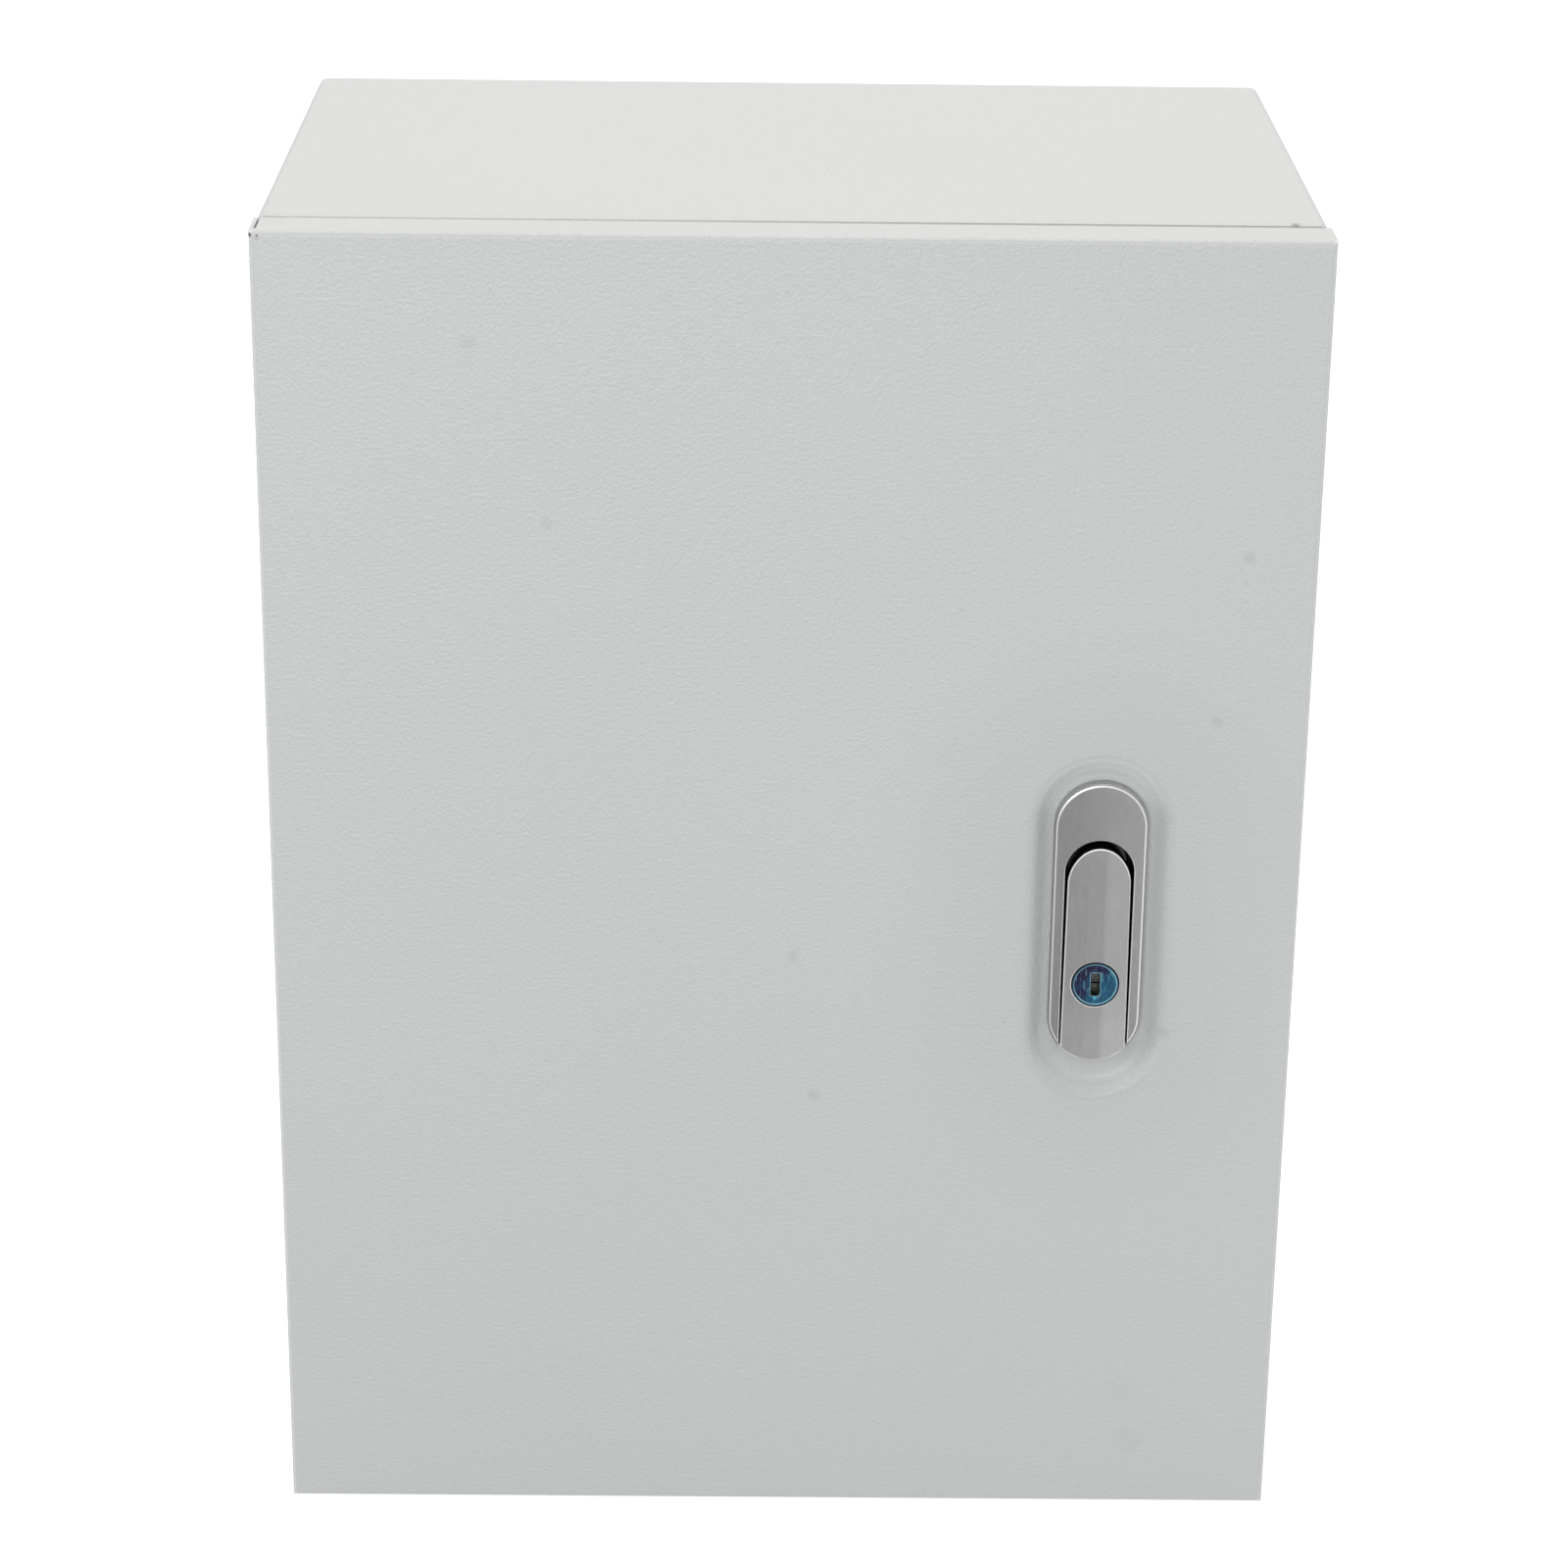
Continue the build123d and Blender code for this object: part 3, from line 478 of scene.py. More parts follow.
lock_low, lock_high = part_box("lock_bezel")
lock_middle = middle_of("lock_bezel")
lock_radius = (lock_high.x - lock_low.x) / 2
lock_straight = (lock_high.z - lock_low.z) / 2 - lock_radius

# Painted shade round the lock, beside the dish and more broadly round it: its tones and its edges.
# Above and under the lock it ends by how far a place leans away from the lock's side.
side_shade_left = 0.07
side_shade_right = 0.12
side_shade_edge = (0.0042, 0.0096)
side_shade_above = (0.10, 0.70)
side_shade_under = (0.70, 0.97)
broad_shade_depth = 0.065
broad_shade_reach = 0.06

# The stamping's round ends, and the painted tone of their walls, lighter on the upper wall and darker
# on the lower against how the light falls: where it lies past the radius, its half width, its softness
# and its amount.
stamp_radius = 0.0197
stamp_top = 0.0270
stamp_bottom = -0.0408
upper_wall = (-0.0020, 0.0011, 0.0018, 0.28)
lower_wall = (0.0003, 0.0007, 0.0012, -0.09)

# The folds round the door's face, each with its half width, and the edge of the returns: painted shade
# on the top fold, painted light on the side and bottom folds, and a painted highlight on the returns'
# edge.
door_side = 0.1500
door_top = 0.2000
door_front = -0.2000
fold_soft = 0.0006
fold_half = 0.0008
side_half = 0.0006
front_half = 0.0009
top_dark = 0.11
side_light = 0.25
bottom_light = 0.40
return_edge = -0.1845
return_edge_highlight = 0.06


def door_shade(tree, x, y, z):
    """The door's painted light and shade: painted shade round the lock, painted light and shade evening
    the dish's end walls, painted lines at its folds.
    """
    across = maths(tree, "ABSOLUTE", minus(tree, x, lock_middle.x))
    along = maths(tree, "ABSOLUTE", minus(tree, z, lock_middle.z))
    past = maths(tree, "MAXIMUM", minus(tree, along, lock_straight), 0.0)
    reach = distance(tree, across, past)
    away = minus(tree, reach, lock_radius)
    lean = maths(tree, "DIVIDE", past, reach)
    upper = maths(tree, "GREATER_THAN", z, lock_middle.z)
    above = times(tree, upper, fade(tree, lean, *side_shade_above))
    under = times(tree, minus(tree, 1.0, upper), fade(tree, lean, *side_shade_under))
    # Painted shade beside the dish, deeper on its right side.
    film_and_painted_light = ramp(tree, x, lock_low.x, lock_high.x, side_shade_left, side_shade_right)
    film_and_painted_light = times(tree, film_and_painted_light, fade(tree, away, *side_shade_edge))
    beside = times(tree, plus(tree, above, under), film_and_painted_light)
    # Broad painted shade round the lock, fading away from it.
    wide = ramp(tree, away, 0.0, broad_shade_reach, broad_shade_depth, 0.0)
    tone = minus(tree, 1.0, plus(tree, beside, wide))
    # Painted light on the dish's upper end wall and painted shade on its lower one, against how the
    # light falls.
    round_ends = (
        (minus(tree, z, stamp_top), *upper_wall),
        (minus(tree, stamp_bottom, z), *lower_wall),
    )
    for past_end, centre, half_width, soft, amount in round_ends:
        over = maths(tree, "MAXIMUM", past_end, 0.0)
        spread = distance(tree, across, over)
        wall = band(tree, minus(tree, spread, stamp_radius), centre, half_width, soft)
        leaning = times(tree, wall, maths(tree, "DIVIDE", over, spread))
        tone = plus(tree, tone, times(tree, leaning, amount))
    # Painted shade along the top fold.
    top = times(
        tree,
        band(tree, z, door_top, fold_half, fold_soft),
        band(tree, y, door_front, fold_half, fold_soft),
    )
    tone = minus(tree, tone, times(tree, top, top_dark))
    # Painted light along the side and bottom folds.
    from_middle = maths(tree, "ABSOLUTE", x)
    sides = times(tree, band(tree, from_middle, door_side, side_half, fold_soft), side_light)
    bottom = times(tree, band(tree, z, -door_top, fold_half, fold_soft), bottom_light)
    folds = maths(tree, "MAXIMUM", sides, bottom)
    folds = times(tree, folds, band(tree, y, door_front, front_half, fold_soft))
    tone = plus(tree, tone, folds)
    # A painted highlight along the edge of the returns.
    edge = times(tree, band(tree, y, return_edge, line_half, line_soft), return_edge_highlight)
    return plus(tree, tone, edge)


give_finish(coated_material("door_powder_coat", door_marks, shade=door_shade), "door_panel")

# The hinges: steel leaves with rolled knuckles, welded to the rim and to the door before
# coating, so they carry the same film as the cabinet.
give_finish(
    coated_material("hinge_powder_coat"),
    "hinge_bracket_upper",
    "hinge_bracket_lower",
    "door_hinge_upper",
    "door_hinge_lower",
)

# The door's seal: a bead of two-part polyurethane foam, poured in place round the door's
# inside. It is soft and matt, with a domed section and closed pores.
bead_width = 0.008
bead_corner = 0.009
bead_round = 0.0026
foam_black = (0.030, 0.031, 0.033, 1)
foam_grey = (0.075, 0.077, 0.080, 1)
foam_rough = (0.80, 0.92)
foam_pores = (1400.0, 0.0003)
dust_scale = 60.0
dust_edge = (0.3, 0.7)
dust_thin = 0.4
dust_thick = 1.2


def pick(kind, test):
    """In edit mode, select only the edges or faces of the active piece that pass a test."""
    bpy.ops.mesh.select_mode(type={"edges": "EDGE", "faces": "FACE"}[kind])
    bpy.ops.mesh.select_all(action="DESELECT")
    mesh = bpy.context.object.data
    form = bmesh.from_edit_mesh(mesh)
    form.normal_update()
    for item in getattr(form, kind):
        if test(item):
            item.select_set(True)
    bmesh.update_edit_mesh(mesh)


def sharp(edge):
    """Whether an edge lies between two faces that meet at more than 60 degrees."""
    return len(edge.link_faces) == 2 and edge.calc_face_angle() > math.radians(60)


seal_low, seal_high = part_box("door_gasket")
seal_middle = middle_of("door_gasket")
bpy.ops.object.select_all(action="DESELECT")
bpy.ops.mesh.primitive_plane_add(
    size=1.0, location=(seal_middle.x, seal_low.y, seal_middle.z), rotation=(math.radians(90), 0, 0)
)
seal = bpy.context.object
seal.name = "foam_seal"
seal.scale = (seal_high.x - seal_low.x, seal_high.z - seal_low.z, 1.0)
bpy.ops.object.transform_apply(location=True, rotation=True, scale=True)
bpy.ops.object.mode_set(mode="EDIT")
bpy.ops.mesh.select_all(action="SELECT")
bpy.ops.mesh.bevel(offset=bead_corner, segments=8, affect="VERTICES")
bpy.ops.mesh.select_all(action="SELECT")
bpy.ops.mesh.inset(thickness=bead_width)
bpy.ops.mesh.delete(type="FACE")
bpy.ops.mesh.select_all(action="SELECT")
bpy.ops.mesh.extrude_region_move(
    TRANSFORM_OT_translate={"value": (0, seal_high.y - seal_low.y, 0)}
)
bpy.ops.mesh.select_all(action="SELECT")
bpy.ops.mesh.normals_make_consistent(inside=False)
pick("edges", lambda edge: sharp(edge) and min(vert.co.y for vert in edge.verts) > seal_high.y - 0.0001)
bpy.ops.mesh.bevel(offset=bead_round, segments=5, affect="EDGES")
bpy.ops.object.mode_set(mode="OBJECT")
bpy.ops.object.shade_smooth_by_angle(angle=math.radians(40))


def foam_material(name, pore_scale, pore_depth):
    """Black foam skin with closed pores; returns the material."""
    material, tree, shader, height = plain_material(name, pore_depth)
    vector = object_vector(tree)
    pores = tree.nodes.new("ShaderNodeTexVoronoi")
    pores.inputs["Scale"].default_value = pore_scale
    tree.links.new(vector, pores.inputs["Vector"])
    dust_and_shade = ramp(tree, noise(tree, vector, dust_scale), *dust_edge, dust_thin, dust_thick)
    tone = times(tree, pores.outputs["Distance"], dust_and_shade)
    colour = mix_colour(tree, tone, foam_black, foam_grey)
    roughness = ramp(tree, dust_and_shade, dust_thin, dust_thick, *foam_rough)
    dress(tree, shader, height, colour, roughness, pores.outputs["Distance"])
    return material


foam_skin = foam_material("foam_seal_skin", *foam_pores)
seal.data.materials.append(foam_skin)
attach(seal, "door")
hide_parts("door_gasket")
give_finish(foam_skin, "door_gasket")

# The flat gaskets under the gland plate and the lock: closed-cell rubber sheet, die cut and
# held between the metal on both sides.
rubber_pores = (3200.0, 0.0001)
rubber_sheet = foam_material("rubber_gasket_sheet", *rubber_pores)
give_finish(rubber_sheet, "gland_gasket", "lock_gasket")

# The lock's escutcheon and handle: zinc die castings, linished and satin chrome plated.
# Their bevels carry a painted highlight and scatter the light, the escutcheon's outer wall is
# painted lighter, and the walls inside the recess are rough and painted near black as shade.
satin_grey = (0.275, 0.275, 0.28, 1)
satin_grain = 900.0
grain_detail = 3.0
satin_linish = (1.0, 1.0, 0.3)
satin_cloud_scale = 70.0
satin_cloud = (0.10, 0.90)
satin_streak = 0.10
satin_rough = (0.16, 0.24)
satin_relief = (0.00003, 0.4)
turret_grain = 500.0
painted_highlight_grey = (0.85, 0.85, 0.86, 1)
recess_shade_black = (0.030, 0.030, 0.031, 1)
cast_rough = 0.3
bevel_scatter = 0.7
bevel_rise = (0.35, 0.50)
bevel_fall = (0.90, 0.97)
highlight_depth = 0.00022
wall_from = 0.0007
outer_wall_painted_light = 0.9
recess_from = 0.0010
handle_wall_from = 0.0017
recess_reach_x = 0.0110
recess_reach_up = 0.0275
recess_reach_down = 0.0450
recess_soft = 0.0001
sleeve_low, sleeve_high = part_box("lock_barrel")
cylinder_x = (sleeve_low.x + sleeve_high.x) / 2
cylinder_z = (sleeve_low.z + sleeve_high.z) / 2
sleeve_radius = (sleeve_high.x - sleeve_low.x) / 2
hole_rim = 0.0003
hole_rim_from = sleeve_radius + hole_rim * 0.6
hole_rim_to = sleeve_radius + hole_rim * 1.2
hole_rim_slant = (-0.008, 0.004)
hole_rim_highlight = (0.8, 0.1)

# A painted sheen, darker on the left and lighter on the right: where across the lock it starts and
# ends, its two tones, and its tone low down, which fades in over the lower end.
escutcheon_sheen = (-0.0100, 0.0110, 0.84, 1.00, 1.0)
handle_sheen = (0.0016, 0.0024, 1.00, 1.14, 1.20)
lower_end = (-0.042, -0.010)

satin_plate, satin_in, satin_out = shader_group(
    "satin_plate",
    [("Colour", "NodeSocketColor", satin_grey), ("Grain", "NodeSocketFloat", satin_grain)],
    [("Colour", "NodeSocketColor"), ("Roughness", "NodeSocketFloat"), ("Height", "NodeSocketFloat")],
)
vector = object_vector(satin_plate)
stretch = satin_plate.nodes.new("ShaderNodeMapping")
stretch.inputs["Scale"].default_value = satin_linish
satin_plate.links.new(vector, stretch.inputs["Vector"])
grain = noise(satin_plate, stretch.outputs[0], satin_in.outputs["Grain"], grain_detail)
cloud = noise(satin_plate, vector, satin_cloud_scale)
shade = share(satin_plate, cloud, *satin_cloud)
shade = plus(satin_plate, shade, times(satin_plate, grain, satin_streak))
put_out(
    satin_plate,
    satin_out,
    Colour=scale_colour(satin_plate, satin_in.outputs["Colour"], shade),
    Roughness=share(satin_plate, grain, *satin_rough),
    Height=grain,
)

# A mask for the painted highlight on bevels: faces that lean part way from the front.
bevel_highlight, edge_in, edge_out = shader_group(
    "bevel_highlight", [("Wear", "NodeSocketFloat", 1.0)], [("Mask", "NodeSocketFloat")]
)
turn = bevel_highlight.nodes.new("ShaderNodeTexCoord")
leans = bevel_highlight.nodes.new("ShaderNodeSeparateXYZ")
bevel_highlight.links.new(turn.outputs["Normal"], leans.inputs[0])
lean = maths(bevel_highlight, "ABSOLUTE", leans.outputs["Y"])
rising = ramp(bevel_highlight, lean, *bevel_rise)
bevelled = times(bevel_highlight, rising, fade(bevel_highlight, lean, *bevel_fall))
put_out(bevel_highlight, edge_out, Mask=times(bevel_highlight, bevelled, edge_in.outputs["Wear"]))


def paint_lock_light(tree, shader, tone, rough, deep_from, highlight_to, sheen):
    """Painted sheen, painted highlights on bevels and round the hole, a painted lighter outer wall and a
    recess painted near black as shade; returns the tone and the roughness.
    """
    x, y, z = places(tree)
    step_from, step_to, left, right, bottom = sheen
    across = minus(tree, x, lock_middle.x)
    along = minus(tree, z, lock_middle.z)
    # A painted sheen, darker on the left and lighter on the right, and its own tone low down.
    shade = ramp(tree, across, step_from, step_to, left, right)
    shade = times(tree, shade, ramp(tree, along, *lower_end, bottom, 1.0))
    tone = scale_colour(tree, tone, shade)
    # A painted highlight on the bevels near the front.
    near = maths(tree, "LESS_THAN", y, highlight_to)
    highlighted = use_group(tree, bevel_highlight, Wear=near).outputs["Mask"]
    tone = mix_colour(tree, highlighted, tone, painted_highlight_grey)
    metal = minus(tree, 1.0, times(tree, highlighted, bevel_scatter))
    tree.links.new(metal, shader.inputs["Metallic"])
    # A painted highlight on the rim of the cylinder's hole, brighter at the lower left.
    from_x = minus(tree, x, cylinder_x)
    from_z = minus(tree, z, cylinder_z)
    ring = fade(tree, distance(tree, from_x, from_z), hole_rim_from, hole_rim_to)
    ring_side = ramp(tree, plus(tree, from_x, from_z), *hole_rim_slant, *hole_rim_highlight)
    tone = mix_colour(tree, times(tree, ring, ring_side), tone, painted_highlight_grey)
    aside = minus(tree, maths(tree, "ABSOLUTE", across), recess_reach_x)
    above = minus(tree, along, recess_reach_up)
    below = minus(tree, -recess_reach_down, along)
    past_end = maths(tree, "MAXIMUM", above, below)
    inside = maths(tree, "LESS_THAN", maths(tree, "MAXIMUM", aside, past_end), 0.0)
    # The escutcheon's outer wall, outside the recess, is painted lighter.
    wall = ramp(tree, y, highlight_to, highlight_to + wall_from)
    outer = times(tree, wall, minus(tree, 1.0, inside))
    tone = scale_colour(tree, tone, plus(tree, 1.0, times(tree, outer, outer_wall_painted_light)))
    # The walls deep in the recess are painted near black as shade, and made rougher.
    deep = times(tree, ramp(tree, y, deep_from, deep_from + recess_soft), inside)
    tone = mix_colour(tree, deep, tone, recess_shade_black)
    return tone, plus(tree, rough, times(tree, deep, cast_rough))


def plated_material(name, colour, grain_scale, *painted_light):
    """Plated metal, with the lock's painted light and shade if its depths and its sheen are given."""
    material, tree, shader, height = plain_material(name, *satin_relief)
    plate = use_group(tree, satin_plate, Colour=colour, Grain=grain_scale)
    tone = plate.outputs["Colour"]
    rough = plate.outputs["Roughness"]
    if painted_light:
        tone, rough = paint_lock_light(tree, shader, tone, rough, *painted_light)
    dress(tree, shader, height, tone, rough, plate.outputs["Height"])
    shader.inputs["Metallic"].default_value = 1.0
    return material


escutcheon_satin = plated_material(
    "escutcheon_satin",
    satin_grey,
    satin_grain,
    lock_low.y + recess_from,
    lock_low.y + highlight_depth,
    escutcheon_sheen,
)
give_finish(escutcheon_satin, "lock_bezel")
handle_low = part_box("handle")[0]
handle_satin = plated_material(
    "handle_satin",
    satin_grey,
    satin_grain,
    handle_low.y + handle_wall_from,
    handle_low.y + handle_wall_from,
    handle_sheen,
)
give_finish(handle_satin, "handle")
give_finish(plated_material("turret_cast", satin_grey, turret_grain), "turret")

# The lock cylinder: a plug in its sleeve, still under a blue protective film. The film is
# scuffed by the key and pale where it ends, at the rim and round the keyway. The rim carries a
# painted highlight towards the lower right, a painted glint sits below the keyway, and the
# keyway is painted dark as shade.
plug_low, plug_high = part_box("lock_plug")
plug_radius = (plug_high.x - plug_low.x) / 2
keyway_half_w = 0.0014
keyway_half_h = 0.00365
keyway_edge = 0.00003
film_violet = (0.020, 0.017, 0.048, 1)
film_teal = (0.018, 0.085, 0.150, 1)
film_pale = (0.200, 0.430, 0.530, 1)
glint_blue = (0.080, 0.360, 0.500, 1)
sleeve_blue = (0.004, 0.010, 0.018, 1)
keyway_shade_grey = (0.060, 0.066, 0.070, 1)
film_metallic = 0.9
film_rough = (0.2, 0.3)
film_relief = (0.00004, 0.4)
film_grain = 1500.0
patch_scale = 300.0
patch_detail = 4.0
patch_edge = (0.36, 0.64)
patch_reach = 0.25
teal_slant = (-0.45, 0.55)
scuff_angles = ((35, 2300.0), (-50, 2900.0))
scuff_detail = 3.0
scuff_stretch = (1.0, 1.0, 0.10)
scuff_edge = (0.62, 0.70)
scuff_depth = 0.55
rim_start = plug_radius - 0.00036
rim_full = plug_radius - 0.00022
rim_end = plug_radius + 0.00010
sleeve_start = plug_radius + 0.00020
rim_highlight_slant = (-0.6, 0.4)
rim_pale_and_highlight = (0.45, 1.2)
outline_edge = (0.00018, 0.00030)
outline_scale = 700.0
outline_gaps = (0.35, 0.60)
outline_light = (0.25, 0.85)
glint_drop = 0.0006
glint_radius = 0.0007

cylinder_film, tree, shader, height = plain_material("cylinder_blue_film", *film_relief)
vector = object_vector(tree)
x, _, z = places(tree)
across = minus(tree, x, cylinder_x)
along = minus(tree, z, cylinder_z)
radius = distance(tree, across, along)
patches = noise(tree, vector, patch_scale, patch_detail)
patches = ramp(tree, patches, *patch_edge, -patch_reach, patch_reach)
slant = maths(tree, "DIVIDE", minus(tree, across, along), 2.0 * plug_radius)
teal = ramp(tree, plus(tree, slant, patches), *teal_slant)
film_and_painted_light = mix_colour(tree, teal, film_violet, film_teal)
for angle, scale in scuff_angles:
    space = tree.nodes.new("ShaderNodeMapping")
    space.inputs["Rotation"].default_value = (0, math.radians(angle), 0)
    space.inputs["Scale"].default_value = scuff_stretch
    tree.links.new(vector, space.inputs["Vector"])
    scuffs = noise(tree, space.outputs[0], scale, scuff_detail)
    scuffs = ramp(tree, scuffs, *scuff_edge, 0.0, scuff_depth)
    film_and_painted_light = mix_colour(tree, scuffs, film_and_painted_light, film_pale)
rim_inner = ramp(tree, radius, rim_start, rim_full)
rim_outer = fade(tree, radius, rim_end, sleeve_start)
rim = times(tree, rim_inner, rim_outer)
# The rim is painted lighter towards the lower right, a painted highlight.
rim = times(tree, rim, ramp(tree, slant, *rim_highlight_slant, *rim_pale_and_highlight))
film_and_painted_light = mix_colour(tree, rim, film_and_painted_light, film_pale)
sleeve = ramp(tree, radius, rim_end, sleeve_start)
film_and_painted_light = mix_colour(tree, sleeve, film_and_painted_light, sleeve_blue)
beside_keyway = minus(tree, maths(tree, "ABSOLUTE", across), keyway_half_w)
past_keyway = minus(tree, maths(tree, "ABSOLUTE", along), keyway_half_h)
keyway_out = maths(tree, "MAXIMUM", beside_keyway, past_keyway)
outline = fade(tree, keyway_out, *outline_edge)
patchy = ramp(tree, noise(tree, vector, outline_scale), *outline_gaps, *outline_light)
outline = times(tree, outline, patchy)
film_and_painted_light = mix_colour(tree, outline, film_and_painted_light, film_pale)
# A painted glint below the keyway.
below = plus(tree, along, keyway_half_h + glint_drop)
glint = use_group(tree, spot, Across=across, Along=below, Radius=glint_radius, Depth=1.0)
film_and_painted_light = mix_colour(tree, glint.outputs["Mask"], film_and_painted_light, glint_blue)
# The keyway is painted dark, as shade.
keyway = maths(tree, "LESS_THAN", keyway_out, keyway_edge)
film_and_painted_light = mix_colour(tree, keyway, film_and_painted_light, keyway_shade_grey)
roughness = share(tree, patches, *film_rough)
dress(tree, shader, height, film_and_painted_light, roughness, noise(tree, vector, film_grain))
shader.inputs["Metallic"].default_value = film_metallic
give_finish(cylinder_film, "lock_plug", "lock_barrel")

# The wafers in the plug: thin brass plates on springs that close the keyway behind its
# mouth, grey with graphite. They slide in slots across the plug.
wafer_count = 4
wafer_first = 0.0011
wafer_pitch = 0.0013
wafer_shift = 0.0020
wafer_thickness = 0.0005
wafer_width = 2 * keyway_half_w + 0.0001
wafer_height = 0.0030
wafer_bevel = 0.00012
graphite_grey = (0.030, 0.036, 0.040, 1)
wafer_brass = (0.075, 0.072, 0.055, 1)
wafer_rough = (0.55, 0.40)
wafer_metallic = 0.7
wafer_relief = 0.00003
smear_scale = 1200.0
smear_detail = 3.0
smear_edge = (0.40, 0.65)

wafer_metal, tree, shader, height = plain_material("wafer_graphite", wafer_relief)
smears = noise(tree, object_vector(tree), smear_scale, smear_detail)
smears = ramp(tree, smears, *smear_edge)
colour = mix_colour(tree, smears, graphite_grey, wafer_brass)
dress(tree, shader, height, colour, ramp(tree, smears, 0.0, 1.0, *wafer_rough), smears)
shader.inputs["Metallic"].default_value = wafer_metallic
for i in range(wafer_count):
    up = 1 if i % 2 == 0 else -1
    bpy.ops.object.select_all(action="DESELECT")
    bpy.ops.mesh.primitive_cube_add(
        size=1.0,
        location=(cylinder_x, plug_low.y + wafer_first + i * wafer_pitch, cylinder_z + up * wafer_shift),
    )
    wafer = bpy.context.object
    wafer.name = f"keyway_wafer_{i + 1}"
    wafer.scale = (wafer_width, wafer_thickness, wafer_height)
    bpy.ops.object.transform_apply(location=True, rotation=True, scale=True)
    bpy.ops.object.mode_set(mode="EDIT")
    bpy.ops.mesh.select_all(action="SELECT")
    bpy.ops.mesh.bevel(offset=wafer_bevel, segments=2, affect="EDGES")
    bpy.ops.object.mode_set(mode="OBJECT")
    bpy.ops.object.shade_smooth_by_angle(angle=math.radians(40))
    wafer.data.materials.append(wafer_metal)
    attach(wafer, "plug")

# Spindle, cam, hook and clamp bridges: turned or pressed steel, bright zinc plated. They
# take the lock's turn behind the door and hold the lock on it.
cam_grey = (0.56, 0.57, 0.58, 1)
cam_grain = 700.0
give_finish(
    plated_material("cam_bright_zinc", cam_grey, cam_grain),
    "latch_cam",
    "spindle",
    "plug_hook",
    "lock_bridge_upper",
    "lock_bridge_lower",
)

# Studs: steel, welded to the sheet and zinc plated, with a rolled metric thread past the
# shoulder. They carry the mounting plate, the gland plate and the earth leads.
zinc_grey = (0.55, 0.55, 0.51, 1)
zinc_grain = 1600.0
m8_pitch = 0.00125
m6_pitch = 0.001
m5_pitch = 0.0008
thread_shade = (0.35, 0.65)
thread, thread_in, thread_out = shader_group(
    "thread",
    [
        ("Along", "NodeSocketFloat", 0.0),
        ("Pitch", "NodeSocketFloat", m8_pitch),
        ("Amount", "NodeSocketFloat", 1.0),
    ],
    [("Height", "NodeSocketFloat")],
)
turns = maths(thread, "DIVIDE", thread_in.outputs["Along"], thread_in.outputs["Pitch"])
wave = times(thread, maths(thread, "PINGPONG", turns, 0.5), 2.0)
put_out(thread, thread_out, Height=times(thread, wave, thread_in.outputs["Amount"]))


def stud_material(name, axis, pitch, thread_start=None):
    """Zinc plating with a thread along an axis, only in front of a given depth if there is one."""
    material, tree, shader, height = plain_material(name, pitch * 0.5, 1.0)
    plate = use_group(tree, satin_plate, Colour=zinc_grey, Grain=zinc_grain)
    x, y, z = places(tree)
    along = {"x": x, "y": y, "z": z}[axis]
    amount = 1.0 if thread_start is None else maths(tree, "LESS_THAN", y, thread_start)
    turned = use_group(tree, thread, Along=along, Pitch=pitch, Amount=amount).outputs["Height"]
    # The thread's roots are painted darker than its crests, as shade.
    colour = scale_colour(tree, plate.outputs["Colour"], share(tree, turned, *thread_shade))
    dress(tree, shader, height, colour, plate.outputs["Roughness"], turned)
    shader.inputs["Metallic"].default_value = 1.0
    return material


plate_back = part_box("mounting_plate")[1].y
give_finish(stud_material("plate_stud_thread", "y", m8_pitch, plate_back), "plate_studs")
give_finish(stud_material("gland_stud_thread", "z", m5_pitch), "gland_studs")
give_finish(stud_material("wall_earth_thread", "x", m6_pitch), "body_earth_stud")
give_finish(stud_material("door_earth_thread", "y", m6_pitch), "door_earth_stud")

# Nuts and the cam's bolt: cold formed steel hexagons with turned corners, zinc plated. The
# nuts sit on the studs, and the bolt is screwed into the spindle's end.
m8_flats, m8_tall, m8_bore = 0.013, 0.0065, 0.00405
m6_flats, m6_tall, m6_bore = 0.010, 0.005, 0.00305
m5_flats, m5_tall, m5_bore = 0.008, 0.004, 0.00255
bolt_flats, bolt_tall, bolt_shank = 0.010, 0.004, 0.0025
corner_cut = 0.10
corner_reach = 1.01
half_corner = 1 / math.sqrt(3)
zinc_plating = plated_material("fastener_zinc", zinc_grey, zinc_grain)


